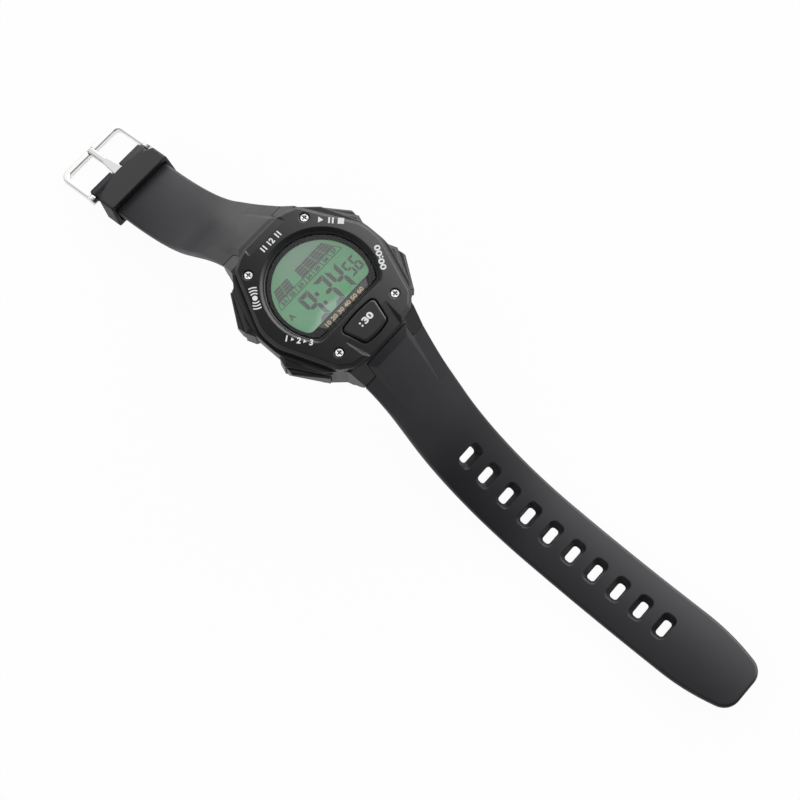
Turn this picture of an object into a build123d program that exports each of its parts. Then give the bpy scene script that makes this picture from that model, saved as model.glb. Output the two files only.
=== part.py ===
from build123d import *
import math
import os

# Digital sports watch in black resin, lying open on its two straps.
# Millimetres. +X is 3 o'clock, +Y is 12 o'clock, +Z is up out of the display.
# The origin is the centre of the case back's outer face.

# Clearances shared by all pieces
FIT = 0.05                  # running fit of a pin, stem or hub, on the radius
SLIP = 0.10                 # gap beside a piece that is dropped into its place
SEAM = 0.12                 # visible joint between strap and case
OVERRUN = 2.0               # how far every cut runs past the material

# Heights of the head, above the outer face of the case back
CASE_UNDERSIDE = 0.3
BACK_THICKNESS = 0.9
CASE_TOP = 8.4
BEZEL_TOP = 11.0
NECK_TOP = 10.2
CAVITY_TOP = 7.2
CRYSTAL_SEAT = 8.7

# Width of the straps, which the lugs carry on
STRAP_HALF_WIDTH = 9.0
STRAP_ROOT_FLARE = 0.8
STRAP_ROOT_HALF_WIDTH = STRAP_HALF_WIDTH + STRAP_ROOT_FLARE
LUG_HALF_WIDTH = STRAP_ROOT_HALF_WIDTH

# Plan of the case
CASE_HALF_WIDTH = 18.2
CASE_END_Y = 21.9
CASE_ROOF_Y = 19.3
LUG_GAP_HALF = 6.5
CAVITY_RADIUS = 14.2
CASE_SIDE_SHARES = ((1.0, 0.19), (0.8, 0.62), (0.6, 0.80))
CASE_SIDE_RADIUS = 14.0
CASE_BELT_Z = 6.0           # below it the sides at 3 and 9 o'clock draw in
CASE_SIDE_DRAFT = 1.0

# Crystal, its seat and its flat towards 6 o'clock
DISPLAY_RADIUS = 11.45
DISPLAY_CHORD = 5.8
CRYSTAL_RADIUS = 12.6
CRYSTAL_FLAT = 8.2
CRYSTAL_THICKNESS = 1.0
CRYSTAL_CHAMFER = 0.25
GASKET_THICKNESS = 0.25
SEAT_WIDTH = 0.5
NECK_WALL = 0.45
NECK_CHAMFER = 0.4
FLAT_CORNER_RADIUS = 2.0

# Bezel plate
BEZEL_HALF_WIDTH = 17.6
BEZEL_TOP_Y = 18.9
BEZEL_BOTTOM_Y = 19.3
BEZEL_TOP_SHARES = ((0.32, 1.0), (0.44, 0.97), (0.60, 0.90), (1.0, 0.15))
BEZEL_BOTTOM_SHARES = ((1.0, 0.14), (0.70, 0.84), (0.55, 0.955), (0.31, 1.0))
BEZEL_CORNER_RADIUS = 2.0
BEZEL_SIDE_RADIUS = 9.0
BEZEL_EDGE_CHAMFER = 0.8
BEZEL_OPENING_CHAMFER = 0.7

# Ramps that lower the bezel towards its two ends: start, half widths and drop
RAMP_WALL_SHARE = 0.95      # run of a ramp's side wall per unit of its drop
TONGUE_START_Y = 13.3
TONGUE_START_HALF = 6.6
TONGUE_FLOOR_HALF = 5.1
TONGUE_DROP = 1.0
LIP_START_Y = 16.6
LIP_START_HALF = 5.8
LIP_FLOOR_HALF = 5.2
LIP_DROP = 0.45

# Domed pad near the bezel's lowered end
PAD_TOP_Y = 10.9
PAD_TOP_HALF = 5.4
PAD_BOTTOM_Y = 16.5
PAD_BOTTOM_HALF = 3.7
PAD_BULGE = 0.5
PAD_CORNER_RADIUS = 1.0
PAD_GAP = 0.3
PAD_FLOOR = 0.6
PAD_RISE = 0.15
PAD_EDGE_RADIUS = 0.5

# Four bezel screws, cross-head, in counterbores
BEZEL_SCREW_X = 9.36
BEZEL_SCREW_Y = 13.8
BEZEL_SCREW_HEAD_RADIUS = 1.1
BEZEL_SCREW_HEAD_HEIGHT = 0.6
BEZEL_SCREW_SINK = 0.25
BEZEL_SCREW_SHANK_RADIUS = 0.5
BEZEL_SCREW_LENGTH = 4.6
SCREW_CROSS_LENGTH = 1.3
SCREW_CROSS_WIDTH = 0.28
SCREW_CROSS_DEPTH = 0.3

# Case back, its gasket and its four screws
BACK_HALF = 15.4
BACK_CORNER = 5.0
BACK_GASKET_RADIUS = 14.9
BACK_GASKET_WIDTH = 0.7
BACK_GASKET_HEIGHT = 0.5
BACK_SCREW_OFFSET = 11.6
BACK_SCREW_HEAD_RADIUS = 1.0
BACK_SCREW_HEAD_HEIGHT = 0.5
BACK_SCREW_SHANK_RADIUS = 0.5
BACK_SCREW_LENGTH = 3.4
BACK_DISH_RADIUS = 12.0
BACK_DISH_DEPTH = 0.2

# Side buttons, one at 2, 4, 8 and 10 o'clock, each on a slanted face of the case
BUTTONS = {"button_2": 30.0, "button_10": 150.0, "button_8": 210.0, "button_4": 330.0}
BUTTON_AXIS_Z = 4.6
BUTTON_TRAVEL = 0.8
SHOULDER_STAND = 1.3
SHOULDER_REACH = CASE_HALF_WIDTH + SHOULDER_STAND
SHOULDER_SHORT = 5.9        # half towards 3 or 9 o'clock
SHOULDER_LONG = 7.0         # half towards 12 or 6 o'clock
SHOULDER_BOTTOM = 1.8
SHOULDER_TOP = 8.0
SHOULDER_CHAMFER = 0.8
SHOULDER_END_DEPTH = 1.8
SHOULDER_END_RUN = 1.5
CAP_SHORT = 4.0
CAP_LONG = 6.2
CAP_BOTTOM = 2.6
CAP_TOP = 6.6
CAP_SINK = 0.4
CAP_INNER = SHOULDER_REACH - CAP_SINK
RECESS_FLOOR = CAP_INNER - BUTTON_TRAVEL - SLIP
CAP_STAND = 1.3
CAP_OUTER = SHOULDER_REACH + CAP_STAND
CAP_LOW_STAND = 0.5         # stand of the long half's end
CAP_END_RUN = 1.6
CAP_EDGE_CHAMFER = 0.45
CAP_BELT_Z = 5.4            # below it the pad's face draws in
CAP_DRAFT = 0.8
STEM_RADIUS = 1.0
STEM_INNER = 13.6
STEM_NECK_RADIUS = 0.7
SPOT_FACE = 14.4
SPOT_HALF = 2.1
CLIP_THICKNESS = 0.25
CLIP_RADIUS = 1.7
CLIP_MOUTH = 1.0
SEAL_DEPTH = 2.0
SEAL_POSITION = RECESS_FLOOR - SEAL_DEPTH
SEAL_WIDTH = 0.8
SEAL_RADIUS = 1.6
SPRING_WELL_RADIUS = 1.7
SPRING_WELL_DEPTH = 0.8
SPRING_WELL_FLOOR = RECESS_FLOOR - SPRING_WELL_DEPTH
SPRING_MEAN_RADIUS = 1.35
SPRING_WIRE_RADIUS = 0.13
SPRING_TURNS = 3

# Spring bars that hold the straps to the lugs, and the buckle to its strap
BAR_Y = 19.7
BAR_Z = 3.4
BAR_TUBE_RADIUS = 0.75
BAR_WALL = 0.2
BAR_PIN_RADIUS = 0.4
BAR_PIN_REACH = 1.6
BAR_PIN_SHOULDER = 0.5
BAR_PIN_TAIL = 2.5
HUB_RADIUS = 2.65
LUG_REACH = CASE_END_Y - BAR_Y
TAB_HALF = 6.4
POCKET_WALL_Y = 16.4
LUG_ARC_STEPS = 6

# Straps: common section, root and bend
STRAP_FLARE_END_Y = 31.0
STRAP_THICKNESS = 2.2
STRAP_EDGE_RADIUS = 0.6
STRAP_UNDER_CHAMFER = 0.9
STRAP_ROOT_SLOPE = 53.0     # degrees below the head's plane
STRAP_TOP_Y = 19.42
STRAP_TOP_Z = 8.3
STRAP_BEND_RADIUS = 43.5
ROOT_PANEL_HALF = 5.1       # raised middle of the root
ROOT_STEP = 1.4             # drop of its sides at the case, which dies out
ROOT_STEP_LENGTH = 20.0
ROOT_FACET_WIDTH = 1.8
ROOT_BAND_LENGTH = 3.2
ROOT_BAND_DROP = 1.2

# Strap at 12 o'clock, with the buckle
BUCKLE_STRAP_BEND_Y = 38.0
BUCKLE_STRAP_END_SLOPE = 18.0
BUCKLE_STRAP_END_Y = 74.6
BUCKLE_HUB_RADIUS = 1.45
BUCKLE_BAR_SETBACK = 1.7
BUCKLE_NOTCH_HALF = 1.65
BUCKLE_NOTCH_DEPTH = 5.0

# Strap at 6 o'clock, with the holes
HOLE_STRAP_BEND_Y = 36.7
HOLE_STRAP_RISE_RADIUS = 210.0
HOLE_STRAP_RISE_ANGLE = 9.6
HOLE_STRAP_END_Y = 130.6
HOLE_COUNT = 10
HOLE_PITCH = 6.9
HOLE_END_DISTANCE = 24.3    # last hole to the tip, along the strap
HOLE_TOP_LENGTH = 6.6
HOLE_TOP_WIDTH = 3.9
HOLE_BOTTOM_LENGTH = 4.2
HOLE_BOTTOM_WIDTH = 2.1
HOLE_CORNER_SHARE = 0.36
TIP_LENGTH = 18.0           # over which the sides draw in
TIP_CORNER_LENGTH = 3.2
TIP_CORNER_SHARE = 0.78     # of the strap's half width

# Frame buckle and tongue
BUCKLE_GAP = 0.3
ARM_WIDTH = 1.35
FRAME_THICKNESS = 1.6
FRAME_WINDOW = 9.2
END_BAR_WIDTH = 1.9
FRAME_CORNER_RADIUS = 2.6
FRAME_EDGE_RADIUS = 0.35
BOSS_RADIUS = 1.3
BUCKLE_PIN_REACH = 1.1
TONGUE_LOOP_RADIUS = 1.45
TONGUE_LOOP_HALF = 1.4
TONGUE_HALF = 0.8
TONGUE_THICKNESS = 1.0
TONGUE_ROOT_LENGTH = 5.5
TONGUE_OVERHANG = 1.2
TONGUE_REST_DEPTH = 0.35

# Keeper loop
KEEPER_LENGTH = 7.8
KEEPER_SETBACK = 3.1
KEEPER_SIDE_WALL = 1.3
KEEPER_ROOF = 1.3
KEEPER_FLOOR = 1.1
KEEPER_TOP_GAP = 0.7
KEEPER_PLAY = 0.3           # height left over with both straps inside
KEEPER_SIDE_GAP = 0.08
KEEPER_SLOPE_INSET = 0.5
KEEPER_REAR_SAG = 3.3
KEEPER_CORNER_RADIUS = 0.55

# Module inside the case, from the display downwards
MASK_THICKNESS = 0.2
POLARISER_THICKNESS = 0.15
LCD_GLASS_THICKNESS = 0.45
LCD_RADIUS = 11.8
LCD_FLAT = 7.3
LCD_LEDGE = 1.1
REFLECTOR_THICKNESS = 0.15
LIGHT_PANEL_THICKNESS = 0.3
FRAME_RADIUS = 13.9
FRAME_BOTTOM = 4.0
BOARD_RADIUS = 13.2
BOARD_THICKNESS = 0.6
BATTERY_RADIUS = 8.0
BATTERY_THICKNESS = 1.5
BATTERY_PLACE = (2.5, 1.5)
CELL_STEP = 0.3
CLIP_STRIP_WIDTH = 3.0
CLIP_STRIP_THICKNESS = 0.2
INSULATOR_THICKNESS = 0.1
MODULE_PLATE_RADIUS = 13.2
MODULE_PLATE_THICKNESS = 0.25
BUZZER_RADIUS = 7.5
BUZZER_THICKNESS = 0.25
BUZZER_SPRING_RADIUS = 0.5
BUZZER_SPRING_TURNS = 5
SPRING_HOLE_RADIUS = 0.8
STRIP_WIDTH = 0.8
STRIP_LENGTH = 13.0
STRIP_Y = 6.75
CHIP_LENGTH = 5.0
CHIP_HEIGHT = 1.0
CAN_RADIUS = 0.75
CAN_LENGTH = 5.0
COIL_RADIUS = 1.1
COIL_HEIGHT = 2.2
CONTACT_INNER = 12.45
CONTACT_WIDTH = 2.4
CONTACT_THICKNESS = 0.2
CONTACT_HEIGHT = 1.8


def write(shape, node):
    """Write one sub-part to its own file."""
    export_step(shape, "parts/" + node + ".step")


def slab(sketch, bottom, top):
    """Extrude a plan outline between two heights."""
    return extrude(Pos(0, 0, bottom) * sketch, amount=top - bottom, dir=(0, 0, 1))


def disc(radius, bottom, top, x=0, y=0):
    """Upright cylinder between two heights."""
    return slab(Pos(x, y) * Circle(radius), bottom, top)


def flat_circle(radius, flat):
    """Circle with a flat towards 6 o'clock and eased corners."""
    window = Pos(0, (radius - flat) / 2) * Rectangle(2 * radius, radius + flat)
    outline = Circle(radius) & window
    return fillet(outline.vertices().sort_by(Axis.Y)[:2], FLAT_CORNER_RADIUS)


def mirrored_outline(points):
    """Closed plan outline from the points of its +X half, top to bottom."""
    return Polygon(*points, *[(-x, y) for x, y in reversed(points)], align=None)


def four_way(points):
    """Closed outline that is the same in all four quarters."""
    half = [(x, y) for x, y in reversed(points)] + [(x, -y) for x, y in points]
    return mirrored_outline(half)


def side_prism(points, half_width):
    """Prism along X from an outline of (y, z) points."""
    face = make_face(Polyline(*[(0, y, z) for y, z in points], close=True))
    return extrude(face, amount=half_width, dir=(1, 0, 0), both=True)


def front_prism(points, half_width):
    """Prism along Y from an outline of (x, z) points."""
    face = make_face(Polyline(*[(x, 0, z) for x, z in points], close=True))
    return extrude(face, amount=half_width, dir=(0, 1, 0), both=True)


def rod_x(radius, x0, x1, y, z):
    """Cylinder along X from x0 to x1."""
    face = Plane((x0, y, z), z_dir=(1, 0, 0)) * Circle(radius)
    return extrude(face, amount=x1 - x0)


def both_sides(shape):
    """A shape and its mirror image across the 3 to 9 o'clock direction."""
    return [shape, mirror(shape, about=Plane.YZ)]


def radial_rod(radius, inner, outer):
    """Cylinder along a button's axis, before it is turned to its hour."""
    face = Plane((inner, 0, BUTTON_AXIS_Z), z_dir=(1, 0, 0)) * Circle(radius)
    return extrude(face, amount=outer - inner)


def radial_box(inner, outer, half, bottom, top):
    """Box along a button's axis, before it is turned to its hour."""
    sketch = Pos((inner + outer) / 2, 0) * Rectangle(outer - inner, 2 * half)
    return slab(sketch, bottom, top)


def at_hour(angle, shape):
    """Turn a shape from +X to a button's direction."""
    return Rot(0, 0, angle) * shape


def handed(angle, shape):
    """A shape drawn for 2 o'clock, mirrored where its long half would face 3 or 9."""
    return shape if math.tan(math.radians(angle)) > 0 else mirror(shape, about=Plane.XZ)


# The crystal's seat, from the display outwards
SEAT_RADIUS = CRYSTAL_RADIUS - SEAT_WIDTH
SEAT_FLAT = CRYSTAL_FLAT - SEAT_WIDTH
NECK_INNER = CRYSTAL_RADIUS + FIT
NECK_RADIUS = NECK_INNER + NECK_WALL
NECK_FLAT = CRYSTAL_FLAT + FIT + NECK_WALL
CRYSTAL_BOTTOM = CRYSTAL_SEAT + GASKET_THICKNESS
MASK_BOTTOM = CRYSTAL_BOTTOM - MASK_THICKNESS
FRONT_GLASS_TOP = MASK_BOTTOM - POLARISER_THICKNESS
REAR_GLASS_TOP = FRONT_GLASS_TOP - LCD_GLASS_THICKNESS
REFLECTOR_TOP = REAR_GLASS_TOP - LCD_GLASS_THICKNESS
LIGHT_PANEL_TOP = REFLECTOR_TOP - REFLECTOR_THICKNESS
FRAME_TOP = LIGHT_PANEL_TOP - LIGHT_PANEL_THICKNESS
BOARD_BOTTOM = FRAME_BOTTOM - BOARD_THICKNESS
BATTERY_TOP = BOARD_BOTTOM
BATTERY_BOTTOM = BATTERY_TOP - BATTERY_THICKNESS


def bezel_screw_places():
    """Axes of the four bezel screws."""
    return [(sx * BEZEL_SCREW_X, sy * BEZEL_SCREW_Y) for sx in (-1, 1) for sy in (-1, 1)]


def back_screw_places():
    """Axes of the four case back screws."""
    return [(sx * BACK_SCREW_OFFSET, sy * BACK_SCREW_OFFSET) for sx in (-1, 1) for sy in (-1, 1)]


def slope_drop(run):
    """Fall of the strap's top surface over a run from the case."""
    return run * math.tan(math.radians(STRAP_ROOT_SLOPE))


def root_steps():
    """Wedges that lower both sides of a strap's root and of its lugs."""
    slope = math.radians(STRAP_ROOT_SLOPE)
    down = Vector(0, math.cos(slope), -math.sin(slope))
    start = Vector(0, STRAP_TOP_Y, STRAP_TOP_Z) - down * OVERRUN
    reach = STRAP_ROOT_HALF_WIDTH + OVERRUN - ROOT_PANEL_HALF
    fall = reach * ROOT_STEP / ROOT_FACET_WIDTH
    corner = start + Vector(ROOT_PANEL_HALF, 0, 0)
    tall = Vector(0, 0, OVERRUN + ROOT_STEP)
    facet = make_face(Polyline(
        corner, corner + Vector(reach, 0, -fall), corner + Vector(reach, 0, 0) + tall,
        corner + tall, close=True,
    ))
    facet = extrude(facet, amount=ROOT_STEP_LENGTH + OVERRUN, dir=down)
    end_y = STRAP_TOP_Y + ROOT_STEP_LENGTH * math.cos(slope)
    end_z = STRAP_TOP_Z - ROOT_STEP_LENGTH * math.sin(slope)
    rise = (STRAP_TOP_Z - ROOT_STEP - end_z) / (end_y - STRAP_TOP_Y) * OVERRUN
    step = side_prism([
        (end_y, end_z), (STRAP_TOP_Y - OVERRUN, STRAP_TOP_Z - ROOT_STEP + rise),
        (STRAP_TOP_Y - OVERRUN, BEZEL_TOP + OVERRUN), (end_y, BEZEL_TOP + OVERRUN),
    ], STRAP_ROOT_HALF_WIDTH + OVERRUN)
    return both_sides(facet & step)


def make_shoulder():
    """Block of the case that guards a button, drawn for 2 o'clock along +X."""
    plan = Polygon(
        (0, -SHOULDER_SHORT), (SHOULDER_REACH - SHOULDER_END_DEPTH, -SHOULDER_SHORT),
        (SHOULDER_REACH, SHOULDER_END_RUN - SHOULDER_SHORT),
        (SHOULDER_REACH, SHOULDER_LONG - SHOULDER_CHAMFER),
        (SHOULDER_REACH - SHOULDER_CHAMFER, SHOULDER_LONG), (0, SHOULDER_LONG), align=None,
    )
    block = slab(plan, SHOULDER_BOTTOM, SHOULDER_TOP)
    top_edges = block.faces().sort_by(Axis.Z)[-1].edges().sort_by(Axis.X)[1:]
    return chamfer(top_edges, SHOULDER_CHAMFER)


def make_case_body():
    """Mid-case: walls, four shoulders, four lugs, crystal neck and all bores."""
    quarter = [(sx * CASE_HALF_WIDTH, sy * CASE_END_Y) for sx, sy in CASE_SIDE_SHARES]
    plan = four_way(quarter + [(LUG_HALF_WIDTH, CASE_END_Y)])
    sides = [corner for corner in plan.vertices() if abs(corner.X) > CASE_HALF_WIDTH - FIT]
    plan = fillet(sides, CASE_SIDE_RADIUS)
    lug_end_z = STRAP_TOP_Z - slope_drop(CASE_END_Y - STRAP_TOP_Y)
    side = [(BAR_Y - BACK_THICKNESS, CASE_UNDERSIDE)]
    for step in range(LUG_ARC_STEPS + 1):
        turn = math.radians(90 * step / LUG_ARC_STEPS)
        side.append((BAR_Y + LUG_REACH * math.sin(turn), BAR_Z - LUG_REACH * math.cos(turn)))
    side += [(CASE_END_Y, lug_end_z), (CASE_ROOF_Y, CASE_TOP)]
    side = side + [(-y, z) for y, z in reversed(side)]
    case = slab(plan, 0, CASE_TOP) & side_prism(side, CASE_HALF_WIDTH)
    for wedge in root_steps():
        case -= wedge
        case -= mirror(wedge, about=Plane.XZ)
    draft = front_prism([
        (CASE_HALF_WIDTH, CASE_BELT_Z), (CASE_HALF_WIDTH - CASE_SIDE_DRAFT, 0),
        (CASE_HALF_WIDTH + OVERRUN, 0), (CASE_HALF_WIDTH + OVERRUN, CASE_BELT_Z),
    ], CASE_END_Y)
    for cut in both_sides(draft):
        case -= cut
    for angle in BUTTONS.values():
        case += at_hour(angle, handed(angle, make_shoulder()))

    # Neck round the crystal, with a sloped rim
    neck = slab(flat_circle(NECK_RADIUS, NECK_FLAT), CASE_TOP, NECK_TOP)
    neck -= slab(flat_circle(NECK_INNER, CRYSTAL_FLAT + FIT), CRYSTAL_SEAT, NECK_TOP)
    rim = neck.faces().sort_by(Axis.Z)[-1].inner_wires()[0].edges()
    case += chamfer(rim, NECK_CHAMFER)

    # Inside: module cavity and display well
    case -= disc(CAVITY_RADIUS, 0, CAVITY_TOP)
    case -= slab(flat_circle(SEAT_RADIUS, SEAT_FLAT), 0, CRYSTAL_SEAT)

    # Underside: recess of the case back, groove of its gasket, screw holes
    recess = offset(back_outline(), amount=SLIP)
    case -= slab(recess, 0, BACK_THICKNESS)
    groove = gasket_outline(SLIP)
    case -= slab(groove, BACK_THICKNESS, BACK_THICKNESS + BACK_GASKET_HEIGHT)
    for x, y in back_screw_places():
        case -= disc(BACK_SCREW_SHANK_RADIUS, 0, BACK_SCREW_LENGTH + SLIP, x, y)
    for x, y in bezel_screw_places():
        case -= disc(BEZEL_SCREW_SHANK_RADIUS, bezel_screw_tip() - SLIP, CASE_TOP, x, y)

    # Ends: pocket of each strap's hub, and blind holes for the spring bar pins
    pocket = rod_x(HUB_RADIUS + SLIP, -LUG_GAP_HALF, LUG_GAP_HALF, BAR_Y, BAR_Z)
    far_y = CASE_END_Y + OVERRUN
    below = [(POCKET_WALL_Y, 0), (far_y, 0), (far_y, BAR_Z), (POCKET_WALL_Y, BAR_Z)]
    beyond = [(CASE_ROOF_Y, 0), (far_y, 0), (far_y, BEZEL_TOP), (CASE_ROOF_Y, BEZEL_TOP)]
    pocket += side_prism(below, LUG_GAP_HALF)
    pocket += side_prism(beyond, LUG_GAP_HALF)
    hole_reach = LUG_GAP_HALF + BAR_PIN_REACH
    pocket += rod_x(BAR_PIN_RADIUS + FIT, -hole_reach, hole_reach, BAR_Y, BAR_Z)
    case -= pocket
    case -= mirror(pocket, about=Plane.XZ)

    # Buttons: recess, spring well, seal groove, stem bore and clip's spot face
    recess_half = (CAP_SHORT + CAP_LONG) / 2 + SLIP
    cut = Pos(0, (CAP_LONG - CAP_SHORT) / 2) * radial_box(
        RECESS_FLOOR, CAP_OUTER, recess_half, CAP_BOTTOM - SLIP, CAP_TOP + SLIP
    )
    cut += radial_rod(SPRING_WELL_RADIUS, SPRING_WELL_FLOOR, RECESS_FLOOR)
    cut += radial_rod(STEM_RADIUS + FIT, STEM_INNER, SPRING_WELL_FLOOR)
    cut += radial_rod(SEAL_RADIUS, SEAL_POSITION, SEAL_POSITION + SEAL_WIDTH)
    spot_low = BUTTON_AXIS_Z - SPOT_HALF
    cut += radial_box(STEM_INNER, SPOT_FACE, SPOT_HALF, spot_low, BUTTON_AXIS_Z + SPOT_HALF)
    for angle in BUTTONS.values():
        case -= at_hour(angle, handed(angle, cut))
    return case


def bezel_screw_tip():
    """Height of a bezel screw's lower end."""
    return BEZEL_TOP - BEZEL_SCREW_SINK - BEZEL_SCREW_HEAD_HEIGHT - BEZEL_SCREW_LENGTH


def cross_cut(top):
    """Cross-shaped driver recess below a height."""
    bars = Rectangle(SCREW_CROSS_LENGTH, SCREW_CROSS_WIDTH)
    bars += Rectangle(SCREW_CROSS_WIDTH, SCREW_CROSS_LENGTH)
    return slab(bars, top - SCREW_CROSS_DEPTH, top)


def ramp_section(y, half, drop):
    """Section of a ramp's wedge at one Y, with slanted walls."""
    low = BEZEL_TOP - drop
    high = BEZEL_TOP + OVERRUN
    flare = half + RAMP_WALL_SHARE * (high - low)
    return make_face(
        Polyline((half, y, low), (flare, y, high), (-flare, y, high), (-half, y, low), close=True)
    )


def ramp(start_y, end_y, start_half, floor_half, drop):
    """Wedge that lowers the bezel from a start to its end towards +Y."""
    run_share = (end_y + OVERRUN - start_y) / (end_y - start_y)
    far_half = start_half + (floor_half - start_half) * run_share
    near = ramp_section(start_y, start_half, 0)
    far = ramp_section(end_y + OVERRUN, far_half, drop * run_share)
    return loft([near, far], ruled=True)


def make_bezel():
    """Elongated octagonal plate with the crystal opening and a lowered tongue."""
    top = [(sx * BEZEL_HALF_WIDTH, sy * BEZEL_TOP_Y) for sx, sy in BEZEL_TOP_SHARES]
    low = [(sx * BEZEL_HALF_WIDTH, -sy * BEZEL_BOTTOM_Y) for sx, sy in BEZEL_BOTTOM_SHARES]
    plan = mirrored_outline(top + low)
    side_x = BEZEL_HALF_WIDTH - FIT
    plan = fillet([v for v in plan.vertices() if abs(v.X) < side_x], BEZEL_CORNER_RADIUS)
    plan = fillet([v for v in plan.vertices() if abs(v.X) > side_x], BEZEL_SIDE_RADIUS)
    bezel = slab(plan, CASE_TOP, BEZEL_TOP)
    bezel = chamfer(bezel.faces().sort_by(Axis.Z)[-1].edges(), BEZEL_EDGE_CHAMFER)
    opening = flat_circle(NECK_RADIUS + SLIP, NECK_FLAT + SLIP)
    bezel -= slab(opening, CASE_TOP, BEZEL_TOP)
    rim = bezel.faces().sort_by(Axis.Z)[-1].inner_wires()[0].edges()
    bezel = chamfer(rim, BEZEL_OPENING_CHAMFER)

    # Lowered tongue towards 6 o'clock, lip towards 12, and the pad's pocket
    tongue = ramp(TONGUE_START_Y, BEZEL_BOTTOM_Y, TONGUE_START_HALF, TONGUE_FLOOR_HALF, TONGUE_DROP)
    bezel -= mirror(tongue, about=Plane.XZ)
    bezel -= ramp(LIP_START_Y, BEZEL_TOP_Y, LIP_START_HALF, LIP_FLOOR_HALF, LIP_DROP)
    bezel -= slab(offset(pad_outline(), amount=PAD_GAP), CASE_TOP + PAD_FLOOR, BEZEL_TOP)

    # Counterbores and holes of the four screws
    seat = BEZEL_TOP - BEZEL_SCREW_SINK - BEZEL_SCREW_HEAD_HEIGHT
    for x, y in bezel_screw_places():
        bezel -= disc(BEZEL_SCREW_HEAD_RADIUS + SLIP, seat, BEZEL_TOP, x, y)
        bezel -= disc(BEZEL_SCREW_SHANK_RADIUS + FIT, CASE_TOP, seat, x, y)
    return bezel


def pad_outline():
    """Trapezoid with bulging long sides, below the crystal."""
    left = (-PAD_TOP_HALF, -PAD_TOP_Y)
    right = (PAD_TOP_HALF, -PAD_TOP_Y)
    low_left = (-PAD_BOTTOM_HALF, -PAD_BOTTOM_Y)
    low_right = (PAD_BOTTOM_HALF, -PAD_BOTTOM_Y)
    lines = [
        ThreePointArc(left, (0, PAD_BULGE - PAD_TOP_Y), right),
        Line(right, low_right),
        ThreePointArc(low_right, (0, -PAD_BOTTOM_Y - PAD_BULGE), low_left),
        Line(low_left, left),
    ]
    outline = make_face(lines)
    return fillet(outline.vertices(), PAD_CORNER_RADIUS)


def make_front_pad():
    """Domed pad that is pressed into the bezel's pocket."""
    pad = slab(pad_outline(), CASE_TOP + PAD_FLOOR, BEZEL_TOP + PAD_RISE)
    return fillet(pad.faces().sort_by(Axis.Z)[-1].edges(), PAD_EDGE_RADIUS)


def make_bezel_screws():
    """Four cross-head screws through the bezel into the case."""
    top = BEZEL_TOP - BEZEL_SCREW_SINK
    head_bottom = top - BEZEL_SCREW_HEAD_HEIGHT
    screw = disc(BEZEL_SCREW_HEAD_RADIUS, head_bottom, top)
    screw = chamfer(screw.faces().sort_by(Axis.Z)[-1].edges(), BEZEL_SCREW_HEAD_HEIGHT / 4)
    screw += disc(BEZEL_SCREW_SHANK_RADIUS - FIT, bezel_screw_tip(), head_bottom)
    screw -= cross_cut(top)
    return Compound([Pos(x, y) * screw for x, y in bezel_screw_places()])


def make_crystal():
    """Flat crystal with a chamfered upper edge."""
    top = CRYSTAL_BOTTOM + CRYSTAL_THICKNESS
    crystal = slab(flat_circle(CRYSTAL_RADIUS, CRYSTAL_FLAT), CRYSTAL_BOTTOM, top)
    return chamfer(crystal.faces().sort_by(Axis.Z)[-1].edges(), CRYSTAL_CHAMFER)


def make_crystal_gasket():
    """Flat ring on the crystal's seat."""
    ring = flat_circle(CRYSTAL_RADIUS, CRYSTAL_FLAT) - flat_circle(SEAT_RADIUS, SEAT_FLAT)
    return slab(ring, CRYSTAL_SEAT, CRYSTAL_BOTTOM)


def make_display_mask():
    """Printed black film round the display window."""
    film = flat_circle(SEAT_RADIUS - FIT, SEAT_FLAT - FIT)
    film -= flat_circle(DISPLAY_RADIUS, DISPLAY_CHORD)
    return slab(film, MASK_BOTTOM, CRYSTAL_BOTTOM)


def back_outline():
    """Square plate with cut corners."""
    cut = BACK_HALF - BACK_CORNER
    return four_way([(BACK_HALF, cut), (cut, BACK_HALF)])


def gasket_outline(clearance):
    """Ring of the back gasket, widened by a clearance on both sides."""
    half = BACK_GASKET_WIDTH / 2 + clearance
    return Circle(BACK_GASKET_RADIUS + half) - Circle(BACK_GASKET_RADIUS - half)


def make_case_back():
    """Steel plate with a shallow dish and four countersunk screw seats."""
    back = slab(back_outline(), 0, BACK_THICKNESS)
    back -= slab(Circle(BACK_DISH_RADIUS), BACK_THICKNESS - BACK_DISH_DEPTH, BACK_THICKNESS)
    for x, y in back_screw_places():
        back -= disc(BACK_SCREW_HEAD_RADIUS + FIT, 0, BACK_SCREW_HEAD_HEIGHT, x, y)
        back -= disc(BACK_SCREW_SHANK_RADIUS + FIT, 0, BACK_THICKNESS, x, y)
    return back


def make_back_screws():
    """Four small cross-head screws that hold the case back."""
    screw = disc(BACK_SCREW_HEAD_RADIUS, 0, BACK_SCREW_HEAD_HEIGHT)
    screw -= cross_cut(SCREW_CROSS_DEPTH)
    screw += disc(BACK_SCREW_SHANK_RADIUS - FIT, BACK_SCREW_HEAD_HEIGHT, BACK_SCREW_LENGTH)
    return Compound([Pos(x, y) * screw for x, y in back_screw_places()])


def make_back_gasket():
    """Rubber ring between the case and the case back."""
    return slab(gasket_outline(0), BACK_THICKNESS, BACK_THICKNESS + BACK_GASKET_HEIGHT)


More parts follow.
